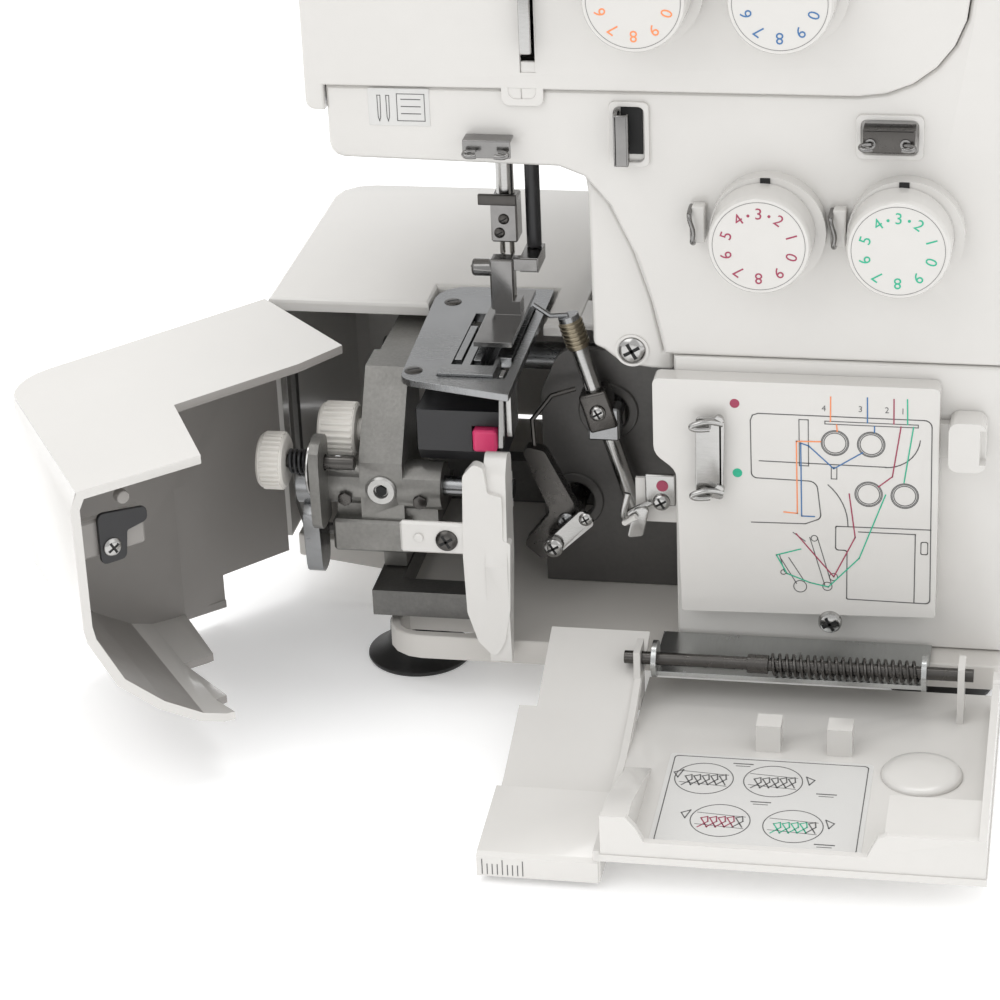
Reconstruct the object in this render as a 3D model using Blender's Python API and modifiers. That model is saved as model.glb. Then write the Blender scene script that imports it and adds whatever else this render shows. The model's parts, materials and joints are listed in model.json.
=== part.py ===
"""Serger overlock machine, four threads, built as an assembly of separate parts.

The machine frame is X to the right, Y to the back and Z up, and every size is in metres.  While it
is modelled, X = 0 runs through the threading panel's screw, Y = 0 is that panel's front face and
Z = 0 is the table.  The last step moves the whole machine so that its origin lies on the table
under the middle of its box.  Both covers stand open, which is the rest position.
"""
import math

import bmesh
import bpy
from mathutils import Matrix, Vector

MM = 0.001
GAP = 0.3 * MM                     # clearance between pieces that rest on each other
RUNNING = 0.25 * MM                # radial clearance of a shaft in its bore

# ---- overall sizes ----
BODY_LEFT = -204 * MM              # outer face of the deck's left side
BODY_RIGHT = 58 * MM               # outer face of the right side
BODY_BACK = 182 * MM               # outer face of the deck's back
MACHINE_TOP = 290 * MM             # top of the head and column
WALL = 2.5 * MM                    # moulded casing wall

# ---- base ----
FOOT_HEIGHT = 13.7 * MM
FOOT_RADIUS = 18.5 * MM
BASE_THICK = 9 * MM
BASE_BOTTOM = FOOT_HEIGHT + GAP
BASE_TOP = BASE_BOTTOM + BASE_THICK
BASE_FRONT = -2 * MM
BASE_FRONT_LEFT = -152.6 * MM      # left end of the narrower front part
FINGER_SLOT = 29 * MM              # length of the slot in the front left corner

# ---- deck and needle plate ----
DECK_TOP = 118 * MM
DECK_FRONT = 66.3 * MM
PLATE_THICK = 2.5 * MM
PLATE_LEFT = -142.5 * MM
PLATE_RIGHT = -104 * MM
PLATE_BACK = 82 * MM
PLATE_FRONT = -4 * MM              # middle of its slanting front edge
PLATE_SLANT = 5 * MM               # how far each end of that edge lies off the middle

# ---- column and head ----
SEAM_Z = 126.5 * MM                # joint between the lower and the upper casings
COLUMN_FRONT = 8 * MM
COLUMN_LEFT = -55 * MM             # left end of the column's front at the seam
CASING_SPLIT = 78 * MM             # joint between the front and the rear casings
HEAD_BACK = 150 * MM
HEAD_LEFT = -163 * MM
HEAD_BOTTOM = 190.6 * MM
TRIM_Z = 216.5 * MM                # lower edge of the raised upper cover
TRIM_RIGHT = 41.3 * MM             # right edge of the raised upper cover
TRIM_RADIUS = 34 * MM
TRIM_PROUD = 1.5 * MM
BAY_RIGHT = -52 * MM               # left wall of the lower casing
LOWER_SPLIT = 100 * MM             # joint between the lower casing and the rear body

# ---- front cover and its hinge ----
HINGE_Y = -20 * MM
HINGE_Z = 29.3 * MM
HINGE_SHAFT_R = 2.2 * MM
SPRING_WIRE_R = 0.55 * MM
COVER_SPRING_R = HINGE_SHAFT_R + SPRING_WIRE_R + 0.65 * MM   # clear of the hinge shaft
COVER_DIP = 8.5 * MM                 # how far the rim dips in the middle
COVER_SKIN = 18 * MM               # the cover's outer face, below its hinge
COVER_REACH = 97 * MM              # from the hinge to the cover's far edge
COVER_TAIL = 15 * MM               # from the hinge to the cover's near edge
COVER_RIM = 16 * MM                # height of the cover's side walls
COVER_STEP = 10 * MM               # how much deeper the cover's left part is
COVER_LEFT = -60 * MM              # left end of the shallow part
COVER_WING = 39 * MM               # width of the deeper left part

# ---- side cover ----
SIDE_OPEN = 46.0                   # degrees that the side cover stands open
SIDE_WALL = 3.0 * MM
SIDE_REACH = 101 * MM              # from its hinge to its right end
SIDE_DEPTH = 125.5 * MM            # from its hinge to its front at the right end

# ---- mechanism ----
NEEDLE_X = -115.7 * MM
NEEDLE_Y = 59 * MM
NEEDLE_BAR_R = 3.1 * MM
PRESSER_BAR_R = 2.6 * MM
PRESSER_OFFSET = 9.4 * MM          # the presser bar stands this far to the needle bar's right
CLAMP_BOTTOM = 146 * MM
CLAMP_HEIGHT = 16 * MM
SHAFT_Y = 88 * MM
SHAFT_Z = 90 * MM
SHAFT_R = 5 * MM
WHEEL_R = 27 * MM
WHEEL_WIDTH = 17 * MM
KNIFE_SHAFT_Y = 15 * MM
KNIFE_SHAFT_Z = 72.5 * MM
KNIFE_SHAFT_R = 3.4 * MM
UPPER_PIVOT = Vector((-79.7, 36, 89.5)) * MM
LOWER_PIVOT = Vector((-92.5, 30, 55)) * MM
BAY_WALL_Y = 44 * MM

# ---- dials ----
DIAL_R = 17 * MM
DIAL_THICK = 12 * MM
RING_R = 18.5 * MM
RING_THICK = 6 * MM
DIAL_POSTS = {
    "tension_dial_left_needle": (-60.1, 251.2),
    "tension_dial_right_needle": (-15.4, 251.4),
    "tension_dial_upper_looper": (-22.0, 173.0),
    "tension_dial_lower_looper": (21.4, 172.8),
}

FINISHES = {
    "white_shell": ((0.86, 0.85, 0.82), 0.28, 0.0),
    "inner_white": ((0.62, 0.60, 0.58), 0.5, 0.0),
    "ivory_knob": ((0.76, 0.72, 0.66), 0.45, 0.0),
    "rubber": ((0.015, 0.015, 0.015), 0.8, 0.0),
    "black_plastic": ((0.03, 0.03, 0.032), 0.4, 0.0),
    "cast": ((0.36, 0.36, 0.35), 0.5, 0.9),
    "satin_steel": ((0.42, 0.42, 0.43), 0.32, 1.0),
    "chrome": ((0.75, 0.75, 0.76), 0.12, 1.0),
    "dark_steel": ((0.12, 0.11, 0.10), 0.35, 0.9),
    "zinc": ((0.62, 0.63, 0.63), 0.3, 1.0),
    "charcoal": ((0.07, 0.07, 0.07), 0.6, 0.2),
    "pink": ((0.85, 0.08, 0.20), 0.4, 0.0),
}


# ---------------------------------------------------------------- helpers

def clear_scene():
    for item in list(bpy.data.objects):
        bpy.data.objects.remove(item)


def new_collection(name):
    group = bpy.data.collections.new(name)
    bpy.context.scene.collection.children.link(group)
    return group


def make_materials():
    for name, (colour, roughness, metallic) in FINISHES.items():
        material = bpy.data.materials.new(name)
        material.use_nodes = True
        shader = material.node_tree.nodes["Principled BSDF"]
        shader.inputs["Base Color"].default_value = (*colour, 1)
        shader.inputs["Roughness"].default_value = roughness
        shader.inputs["Metallic"].default_value = metallic


def place(item, finish):
    """Put a new object among the parts, under the machine's root, with its finish."""
    PARTS.objects.link(item)
    item.parent = ROOT
    item.data.materials.clear()
    item.data.materials.append(bpy.data.materials[finish])
    return item


def from_bmesh(name, bm, finish):
    mesh = bpy.data.meshes.new(name)
    bm.to_mesh(mesh)
    bm.free()
    return place(bpy.data.objects.new(name, mesh), finish)


def box(name, low, high, finish, rounding=0.0):
    """A block between two corners, given in metres."""
    low = Vector(low)
    high = Vector(high)
    bm = bmesh.new()
    bmesh.ops.create_cube(bm, size=1)
    bmesh.ops.scale(bm, vec=high - low, verts=bm.verts)
    bmesh.ops.translate(bm, vec=(low + high) / 2, verts=bm.verts)
    if rounding:
        bmesh.ops.bevel(bm, geom=bm.edges[:], offset=rounding, segments=1, affect="EDGES",
                        profile=0.5)
    return from_bmesh(name, bm, finish)


def rod(name, start, end, radius, finish, end_radius=None, sides=20):
    """A round bar or a cone between two points."""
    start = Vector(start)
    end = Vector(end)
    axis = end - start
    turn = axis.to_track_quat("Z", "Y").to_matrix().to_4x4()
    bm = bmesh.new()
    bmesh.ops.create_cone(bm, cap_ends=True, segments=sides, radius1=radius,
                          radius2=radius if end_radius is None else end_radius,
                          depth=axis.length,
                          matrix=Matrix.Translation((start + end) / 2) @ turn)
    item = from_bmesh(name, bm, finish)
    item.data.shade_smooth()
    item.data.set_sharp_from_angle(angle=math.radians(35))
    return item


PLANES = {
    "XY": Matrix.Identity(4),
    "XZ": Matrix(((1, 0, 0, 0), (0, 0, -1, 0), (0, 1, 0, 0), (0, 0, 0, 1))),
    "YZ": Matrix(((0, 0, 1, 0), (1, 0, 0, 0), (0, 1, 0, 0), (0, 0, 0, 1))),
}


def slab(name, outline, low, high, plane, finish, holes=()):
    """A flat plate: an outline and its holes in a plane, from one depth to another."""
    curve = bpy.data.curves.new(name, "CURVE")
    curve.dimensions = "2D"
    curve.fill_mode = "BOTH"
    curve.extrude = (high - low) / 2
    for ring in (outline, *holes):
        spline = curve.splines.new("POLY")
        spline.points.add(len(ring) - 1)
        spline.use_cyclic_u = True
        for point, (u, v) in zip(spline.points, ring):
            point.co = (u, v, 0, 1)
    source = bpy.data.objects.new(name, curve)
    PARTS.objects.link(source)
    bpy.context.view_layer.update()
    graph = bpy.context.evaluated_depsgraph_get()
    mesh = bpy.data.meshes.new_from_object(source.evaluated_get(graph))
    bpy.data.objects.remove(source)
    bm = bmesh.new()
    bm.from_mesh(mesh)
    bmesh.ops.remove_doubles(bm, verts=bm.verts, dist=0.00001)
    middle = (low + high) / 2 * (-1 if plane == "XZ" else 1)
    bmesh.ops.transform(bm, verts=bm.verts,
                        matrix=PLANES[plane] @ Matrix.Translation((0, 0, middle)))
    bmesh.ops.recalc_face_normals(bm, faces=bm.faces)
    return from_bmesh(name, bm, finish)


def shell(name, outline, front, back, wall, rounding, finish, plane="XZ"):
    """A moulded cover: a face with walls that run from it to the open side."""
    bm = bmesh.new()
    corners = [bm.verts.new((u, v, 0)) for u, v in outline]
    face = bm.faces.new(corners)
    rim = list(face.edges)
    walls = bmesh.ops.extrude_edge_only(bm, edges=rim)
    moved = [item for item in walls["geom"] if isinstance(item, bmesh.types.BMVert)]
    depth = front - back if plane == "XZ" else back - front
    bmesh.ops.translate(bm, vec=(0, 0, depth), verts=moved)
    bmesh.ops.bevel(bm, geom=rim, offset=rounding, segments=3, affect="EDGES", profile=0.5)
    start = -front if plane == "XZ" else front
    bmesh.ops.transform(bm, verts=bm.verts,
                        matrix=PLANES[plane] @ Matrix.Translation((0, 0, start)))
    bmesh.ops.recalc_face_normals(bm, faces=bm.faces)
    item = from_bmesh(name, bm, finish)
    solid = item.modifiers.new("wall", "SOLIDIFY")
    solid.thickness = wall
    solid.offset = -1
    solid.use_even_offset = True
    return item


def turned(name, profile, centre, axis, finish, steps=28):
    """A turned piece: profile points (radius, height) from the top down its outer side."""
    mesh = bpy.data.meshes.new(name)
    bm = bmesh.new()
    points = [bm.verts.new((radius, 0, height)) for radius, height in profile]
    for first, second in zip(points, points[1:]):
        bm.edges.new((first, second))
    bm.to_mesh(mesh)
    bm.free()
    item = place(bpy.data.objects.new(name, mesh), finish)
    screw = item.modifiers.new("turn", "SCREW")
    screw.axis = "Z"
    screw.steps = steps
    screw.render_steps = steps
    screw.use_merge_vertices = True
    screw.merge_threshold = 0.00001
    screw.use_smooth_shade = True
    item.location = centre
    item.rotation_euler = Vector(axis).to_track_quat("Z", "Y").to_euler()
    return item


def wire(name, points, radius, finish, cyclic=False):
    """A round wire or tube through the given points."""
    curve = bpy.data.curves.new(name, "CURVE")
    curve.dimensions = "3D"
    curve.bevel_depth = radius
    curve.bevel_resolution = 2
    curve.use_fill_caps = True
    spline = curve.splines.new("POLY")
    spline.points.add(len(points) - 1)
    spline.use_cyclic_u = cyclic
    for point, place_at in zip(spline.points, points):
        point.co = (*place_at, 1)
    return place(bpy.data.objects.new(name, curve), finish)


def to_mesh(item):
    """Turn a curve or a piece with modifiers into a plain welded mesh object."""
    bpy.context.view_layer.update()
    graph = bpy.context.evaluated_depsgraph_get()
    mesh = bpy.data.meshes.new_from_object(item.evaluated_get(graph))
    bm = bmesh.new()
    bm.from_mesh(mesh)
    bmesh.ops.remove_doubles(bm, verts=bm.verts, dist=0.00001)
    bm.to_mesh(mesh)
    bm.free()
    name = item.name
    finish = item.active_material.name
    matrix = item.matrix_local.copy()
    bpy.data.objects.remove(item)
    solid = place(bpy.data.objects.new(name, mesh), finish)
    solid.matrix_local = matrix
    return solid


def combine(item, tool, operation):
    modifier = item.modifiers.new(tool.name, "BOOLEAN")
    modifier.operation = operation
    modifier.solver = "EXACT"
    modifier.object = tool
    PARTS.objects.unlink(tool)
    CUTTERS.objects.link(tool)
    tool.hide_render = True
    tool.display_type = "WIRE"


def cut(item, *tools):
    for tool in tools:
        combine(item, tool, "DIFFERENCE")
    return item


def join(item, *tools):
    for tool in tools:
        combine(item, tool, "UNION")
    return item


def set_pivot(item, point):
    """Move a mesh object's origin to a point of the machine frame, its shape staying put."""
    point = Vector(point)
    item.data.transform(Matrix.Translation(item.location - point))
    item.location = point
    return item


def arc(centre, radius, start, end, steps):
    """Points of an arc, its angles in degrees."""
    angles = [math.radians(start + (end - start) * step / steps) for step in range(steps + 1)]
    return [(centre[0] + radius * math.cos(a), centre[1] + radius * math.sin(a)) for a in angles]


def ring_of(centre, radius, steps=20):
    return arc(centre, radius, 0, 360, steps)[:-1]


def rounded(points, steps=3):
    """An outline whose corners (u, v, radius) are replaced by arcs."""
    result = []
    count = len(points)
    for index, (u, v, radius) in enumerate(points):
        corner = Vector((u, v))
        if not radius:
            result.append((u, v))
            continue
        before = (Vector(points[index - 1][:2]) - corner).normalized()
        after = (Vector(points[(index + 1) % count][:2]) - corner).normalized()
        half = before.angle(after) / 2
        reach = radius / math.tan(half)
        centre = corner + (before + after).normalized() * (radius / math.sin(half))
        first = corner + before * reach - centre
        sweep = first.angle_signed(corner + after * reach - centre)
        for step in range(steps + 1):
            turn = Matrix.Rotation(-sweep * step / steps, 2)
            spot = centre + turn @ first
            result.append((spot.x, spot.y))
    return result


def sharp(points):
    """Outline points without rounding, for use beside rounded corners."""
    return [(u, v, 0) for u, v in points]


def mm(*points):
    """Points given in millimetres, in metres."""
    return [tuple(value * MM for value in point) for point in points]


# ---------------------------------------------------------------- base

def make_base():
    back_left = BODY_LEFT + WALL + 1 * MM
    outline = rounded([
        (BASE_FRONT_LEFT, BASE_FRONT, 13 * MM),
        (BODY_RIGHT - 1 * MM, BASE_FRONT, 3 * MM),
        (BODY_RIGHT - 1 * MM, BODY_BACK - WALL - 1 * MM, 6 * MM),
        (back_left, BODY_BACK - WALL - 1 * MM, 6 * MM),
        (back_left, DECK_FRONT + 4 * MM, 0),
        (BASE_FRONT_LEFT, DECK_FRONT - 8 * MM, 0),
    ], 4)
    slot_left = BASE_FRONT_LEFT + 4 * MM
    slot = rounded([
        (slot_left, BASE_FRONT + 4 * MM, 7 * MM),
        (slot_left + FINGER_SLOT, BASE_FRONT + 4 * MM, 5 * MM),
        (slot_left + FINGER_SLOT, BASE_FRONT + 20 * MM, 3 * MM),
        (slot_left, BASE_FRONT + 20 * MM, 3 * MM),
    ])
    slab("base_plate", outline, BASE_BOTTOM, BASE_TOP, "XY", "inner_white", [slot])
    profile = [(0, FOOT_HEIGHT), (9 * MM, FOOT_HEIGHT), (10 * MM, 6 * MM),
               (FOOT_RADIUS - 1.5 * MM, 2 * MM), (FOOT_RADIUS, 1 * MM), (FOOT_RADIUS - 1 * MM, 0),
               (0, 0)]
    left = BASE_FRONT_LEFT + 6 * MM
    spots = {
        "foot_front_left": (left, BASE_FRONT + 29.5 * MM),
        "foot_front_right": (BODY_RIGHT - 22 * MM, BASE_FRONT + 29.5 * MM),
        "foot_rear_left": (BODY_LEFT + 26 * MM, BODY_BACK - 26 * MM),
        "foot_rear_right": (BODY_RIGHT - 22 * MM, BODY_BACK - 26 * MM),
    }
    for name, (x, y) in spots.items():
        turned(name, profile, (x, y, 0), (0, 0, 1), "rubber", 24)


# ---------------------------------------------------------------- casings

def throat_curve():
    """The column's left edge, from under the head down to the seam."""
    return mm((-88, HEAD_BOTTOM / MM), (-80, 187.5), (-72, 178), (-64.5, 162), (-59, 145)) + [
        (COLUMN_LEFT, SEAM_Z + GAP)]


def make_lower_casing():
    outline = [(BAY_RIGHT, BASE_TOP + GAP), (BODY_RIGHT, BASE_TOP + GAP), (BODY_RIGHT, SEAM_Z),
               (BAY_RIGHT, SEAM_Z)]
    casing = shell("lower_casing", outline, COLUMN_FRONT, LOWER_SPLIT - GAP, WALL, 1.5 * MM,
                   "white_shell")
    bore = rod("lower_casing_bore", (BAY_RIGHT - 5 * MM, SHAFT_Y, SHAFT_Z),
               (BODY_RIGHT + 5 * MM, SHAFT_Y, SHAFT_Z), SHAFT_R + 1.5 * MM, "white_shell")
    cut(casing, bore)
    rear_left = -89.3 * MM
    outline = rounded([(rear_left, BASE_TOP + GAP, 0), (BODY_RIGHT, BASE_TOP + GAP, 0),
                       (BODY_RIGHT, SEAM_Z, 0), (rear_left, SEAM_Z, 0)])
    rear = shell("rear_body_cover", outline, BODY_BACK - 4 * MM, LOWER_SPLIT, WALL, 4 * MM,
                 "white_shell")
    window = box("rear_body_window", (-60 * MM, LOWER_SPLIT - 2 * MM, SEAM_Z - 6 * MM),
                 (45 * MM, LOWER_SPLIT + 25 * MM, SEAM_Z + 4 * MM), "white_shell")
    left_window = box("rear_body_left_window",
                      (rear_left - 3 * MM, LOWER_SPLIT - 2 * MM, BASE_TOP - 3 * MM),
                      (rear_left + 6 * MM, LOWER_SPLIT + 25 * MM, SEAM_Z - 16 * MM),
                      "white_shell")
    inlet = box("rear_body_inlet", (BODY_RIGHT - 6 * MM, 140 * MM, 36 * MM),
                (BODY_RIGHT + 3 * MM, 164 * MM, 52 * MM), "white_shell")
    bottom = box("rear_body_bottom", (rear_left + 5 * MM, LOWER_SPLIT - 2 * MM,
                 BASE_TOP - 3 * MM), (BODY_RIGHT - 5 * MM, BODY_BACK - 9 * MM, BASE_TOP + 9 * MM),
                 "white_shell")
    cut(rear, window, left_window, inlet, bottom)


def make_panel():
    outline = rounded(mm((-58, 122, 2), (35, 122, 2), (35, 39, 1), (-49.5, 37, 1),
                         (-50.5, 89, 6), (-58, 95, 6)))
    panel = slab("threading_panel", outline, 0, COLUMN_FRONT - GAP, "XZ", "white_shell")
    latch = slab("latch_catch", rounded(mm((38, 94, 3), (50, 94, 3), (50, 111.5, 3),
                                           (38, 111.5, 3))),
                 -3 * MM, COLUMN_FRONT - GAP, "XZ", "white_shell")
    bridge = box("latch_bridge", (34 * MM, 4 * MM, 96 * MM), (40 * MM, COLUMN_FRONT - GAP,
                 108 * MM), "white_shell")
    join(panel, bridge, latch)
    slit = box("latch_slit", (48 * MM, -4 * MM, 97 * MM), (51 * MM, 2 * MM, 109 * MM),
               "white_shell")
    cut(panel, slit)


def trim_line():
    """The curved joint between the front casing and the raised upper cover."""
    centre = (TRIM_RIGHT - TRIM_RADIUS, TRIM_Z + TRIM_RADIUS)
    return arc(centre, TRIM_RADIUS, 0, -90, 6)


def make_front_casing():
    outline = rounded([(HEAD_LEFT, HEAD_BOTTOM + 1.5 * MM, 5 * MM)]
                      + sharp(throat_curve())
                      + sharp([(BODY_RIGHT, SEAM_Z + GAP), (BODY_RIGHT, MACHINE_TOP),
                               (TRIM_RIGHT, MACHINE_TOP)])
                      + sharp(trim_line())
                      + [(HEAD_LEFT, TRIM_Z, 0)])
    casing = shell("front_casing", outline, COLUMN_FRONT, CASING_SPLIT, WALL, 2 * MM,
                   "white_shell")
    for index, name in enumerate(("tension_dial_upper_looper", "tension_dial_lower_looper")):
        x, z = DIAL_POSTS[name]
        ring = rod(f"dial_ring_{index}", ((x + 1.5) * MM, COLUMN_FRONT - RING_THICK, z * MM),
                   ((x + 1.5) * MM, COLUMN_FRONT + 1.5 * MM, z * MM), RING_R, "white_shell",
                   sides=32)
        join(casing, ring)
    mouth = box("bar_mouth", (NEEDLE_X - 7 * MM, NEEDLE_Y - 7 * MM, HEAD_BOTTOM - 4 * MM),
                (NEEDLE_X + 16 * MM, NEEDLE_Y + 8 * MM, TRIM_Z + 3 * MM), "white_shell")
    cut(casing, mouth)


def make_upper_cover():
    grow = TRIM_RADIUS - GAP
    centre = (TRIM_RIGHT - TRIM_RADIUS, TRIM_Z + TRIM_RADIUS)
    outline = rounded([(HEAD_LEFT - 6.5 * MM, TRIM_Z - 8 * MM, 3 * MM),
                       (HEAD_LEFT - GAP, TRIM_Z - 8 * MM, 0),
                       (HEAD_LEFT - GAP, TRIM_Z + GAP, 0)]
                      + sharp(arc(centre, grow, -90, 0, 6))
                      + [(TRIM_RIGHT - GAP, MACHINE_TOP, 0),
                         (HEAD_LEFT - 6.5 * MM, MACHINE_TOP, 14 * MM)])
    cover = shell("upper_front_cover", outline, COLUMN_FRONT - TRIM_PROUD, CASING_SPLIT, 2 * MM,
                  1.2 * MM, "white_shell")
    for index, name in enumerate(("tension_dial_left_needle", "tension_dial_right_needle")):
        x, z = DIAL_POSTS[name]
        front = COLUMN_FRONT - TRIM_PROUD
        ring = rod(f"upper_dial_ring_{index}", ((x + 1.5) * MM, front - RING_THICK + TRIM_PROUD,
                                                z * MM),
                   ((x + 1.5) * MM, front + 1.2 * MM, z * MM), RING_R, "white_shell", sides=32)
        join(cover, ring)
    slot = box("take_up_slot", (-99 * MM, -5 * MM, TRIM_Z + 6 * MM),
               (-93.5 * MM, 16 * MM, MACHINE_TOP - 22 * MM), "white_shell")
    mouth = box("upper_bar_mouth", (NEEDLE_X - 7 * MM, NEEDLE_Y - 7 * MM, TRIM_Z - 3 * MM),
                (NEEDLE_X + 16 * MM, NEEDLE_Y + 8 * MM, TRIM_Z + 6 * MM), "white_shell")
    cut(cover, mouth)
    cut(cover, slot)


def make_rear_casing():
    back_edge = -84.5 * MM
    outline = rounded([(HEAD_LEFT - 6.5 * MM, HEAD_BOTTOM, 6 * MM),
                       (back_edge, HEAD_BOTTOM, 6 * MM),
                       (back_edge - 4 * MM, SEAM_Z + GAP, 0),
                       (BODY_RIGHT, SEAM_Z + GAP, 0),
                       (BODY_RIGHT, MACHINE_TOP, 10 * MM),
                       (HEAD_LEFT - 6.5 * MM, MACHINE_TOP, 14 * MM)])
    casing = shell("rear_casing", outline, HEAD_BACK, CASING_SPLIT + GAP, WALL, 5 * MM,
                   "white_shell")
    window = box("rear_casing_window", (-60 * MM, LOWER_SPLIT - 5 * MM, SEAM_Z - 4 * MM),
                 (45 * MM, LOWER_SPLIT + 25 * MM, SEAM_Z + 8 * MM), "white_shell")
    slot = box("lifter_slot", (NEEDLE_X + PRESSER_OFFSET - 2.2 * MM, HEAD_BACK - 8 * MM,
               199 * MM), (NEEDLE_X + PRESSER_OFFSET + 2.2 * MM, HEAD_BACK + 5 * MM, 219 * MM),
               "white_shell")
    cut(casing, window, slot)


def make_fairing():
    curve = throat_curve()
    outline = [(u - 0.5 * MM, v - 0.5 * MM) for u, v in curve[1:-1]]
    outline += mm((-55.7, 126.4), (-52.6, 126.2))
    outline += mm((-52.6, 119.3), (-60, 119.5), (-66.5, 120.3), (-71, 121.8), (-75.6, 125.6),
                  (-79.2, 127.2), (-79.6, 150), (-79.6, 180))
    slab("throat_fairing", outline, COLUMN_FRONT + 5 * MM, CASING_SPLIT - 3 * MM, "XZ",
         "white_shell")


def make_deck():
    left = BODY_LEFT
    plate_left = PLATE_LEFT - 3.5 * MM
    plate_right = PLATE_RIGHT + 1 * MM
    right = -90 * MM
    plate_back = PLATE_BACK + 1 * MM
    outline = rounded([
        (left, DECK_FRONT, 0), (plate_left, DECK_FRONT, 0), (plate_left, plate_back, 0),
        (plate_right, plate_back, 0), (plate_right, DECK_FRONT - 14 * MM, 0),
        (right, DECK_FRONT - 14 * MM, 4 * MM), (right, BODY_BACK, 0), (left, BODY_BACK, 14 * MM),
    ])
    deck = shell("deck_cover", outline, DECK_TOP, BASE_TOP + 1 * MM, WALL, 2 * MM, "white_shell",
                 plane="XY")
    low = BASE_TOP - 3 * MM
    front_opening = box("deck_front_opening", (left + WALL, DECK_FRONT - 20 * MM, low),
                        (right + 3 * MM, plate_back + 6 * MM, DECK_TOP - 5 * MM), "white_shell")
    right_opening = box("deck_right_opening", (right - 8 * MM, plate_back, low),
                        (right + 3 * MM, BODY_BACK - 8 * MM, DECK_TOP - 5 * MM), "white_shell")
    cut(deck, front_opening, right_opening)
    tab = box("deck_throat_tab", (right - 3 * MM, DECK_FRONT - 13.6 * MM, DECK_TOP - WALL),
              (right + 9.4 * MM, COLUMN_FRONT + 66 * MM, DECK_TOP - 0.4 * MM), "white_shell")
    join(deck, tab)


# ---------------------------------------------------------------- frame and bay

def make_frame():
    rail_left = BASE_FRONT_LEFT - 5 * MM
    floor = BASE_TOP + 3 * MM
    top = floor + 9.5 * MM
    frame = box("machine_frame", (rail_left, 6 * MM, floor), (-116 * MM, 16 * MM, top), "cast")
    rib = box("frame_rib", (rail_left, 14 * MM, floor), (rail_left + 9 * MM, 113 * MM, top),
              "cast")
    sill = box("frame_sill", (rail_left, 104 * MM, BASE_TOP + GAP), (33 * MM, 112 * MM, 40 * MM),
               "cast")
    post = box("frame_post", (-45 * MM, 104 * MM, 30 * MM), (33 * MM, 112 * MM, 268 * MM), "cast")
    arm = box("frame_arm", (-150 * MM, 104 * MM, 225 * MM), (-30 * MM, 112 * MM, 268 * MM),
              "cast")
    boss = box("frame_boss", (NEEDLE_X - 8 * MM, NEEDLE_Y - 8 * MM, 228 * MM),
               (NEEDLE_X + 17 * MM, 106 * MM, 244 * MM), "cast")
    plate_post = box("frame_plate_post", (rail_left, 104 * MM, 34 * MM),
                     (rail_left + 12 * MM, 112 * MM, DECK_TOP - 8 * MM), "cast")
    join(frame, rib, sill, post, arm, boss, plate_post)
    bores = []
    for index, x in enumerate((rail_left + 1 * MM, 10 * MM)):
        lug = box(f"shaft_lug_{index}", (x, SHAFT_Y - 11 * MM, SHAFT_Z - 9 * MM),
                  (x + 9 * MM, 106 * MM, SHAFT_Z + 9 * MM), "cast")
        join(frame, lug)
    bores.append(rod("shaft_bore", (rail_left - 5 * MM, SHAFT_Y, SHAFT_Z),
                     (30 * MM, SHAFT_Y, SHAFT_Z), SHAFT_R + RUNNING, "cast"))
    bores.append(rod("needle_bore", (NEEDLE_X, NEEDLE_Y, 220 * MM), (NEEDLE_X, NEEDLE_Y, 250 * MM),
                     NEEDLE_BAR_R + RUNNING, "cast"))
    bores.append(rod("presser_bore", (NEEDLE_X + PRESSER_OFFSET, NEEDLE_Y, 220 * MM),
                     (NEEDLE_X + PRESSER_OFFSET, NEEDLE_Y, 250 * MM), PRESSER_BAR_R + RUNNING,
                     "cast"))
    cut(frame, *bores)


def make_bay_wall():
    holes = [ring_of((UPPER_PIVOT.x, UPPER_PIVOT.z), 8 * MM, 24),
             ring_of((LOWER_PIVOT.x, LOWER_PIVOT.z), 7 * MM, 24)]
    outline = rounded(mm((-103, 23.3, 0), (-52.5, 23.3, 0), (-52.5, 112, 0), (-96, 112, 8),
                         (-103, 96, 4)))
    slab("looper_bay_wall", outline, BAY_WALL_Y, BAY_WALL_Y + 3 * MM, "XZ", "charcoal", holes)


def make_bearing_block():
    wedge = slab("bearing_block", mm((9, 50), (30, 46), (40, 46), (40, 111), (26, 111), (8, 83),
                                     (8, 62)),
                 -160 * MM, -145 * MM, "YZ", "cast")
    bar = box("block_bar", mm((-170, 6, 50))[0], mm((-143, 26, 62))[0], "cast", 1 * MM)
    shank = box("block_shank", mm((-157, 24, 36.0))[0], mm((-149, 40, 52))[0], "cast")
    right = rod("block_right", (-147 * MM, KNIFE_SHAFT_Y, KNIFE_SHAFT_Z),
                (-132 * MM, KNIFE_SHAFT_Y, KNIFE_SHAFT_Z), 8.5 * MM, "cast")
    left = rod("block_left", (-172 * MM, KNIFE_SHAFT_Y, KNIFE_SHAFT_Z),
               (-158 * MM, KNIFE_SHAFT_Y, KNIFE_SHAFT_Z), 7.5 * MM, "cast")
    web = box("block_web", mm((-169, 11, 58.5))[0], mm((-134, 19, 70))[0], "cast")
    shelf = box("block_shelf", mm((-158.5, 32, 104))[0], mm((-141, 76, 110))[0], "cast")
    join(wedge, bar, shank, right, left, web, shelf)
    bore = rod("block_bore", (-180 * MM, KNIFE_SHAFT_Y, KNIFE_SHAFT_Z),
               (-125 * MM, KNIFE_SHAFT_Y, KNIFE_SHAFT_Z), KNIFE_SHAFT_R + RUNNING, "cast")
    cut(wedge, bore)


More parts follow.
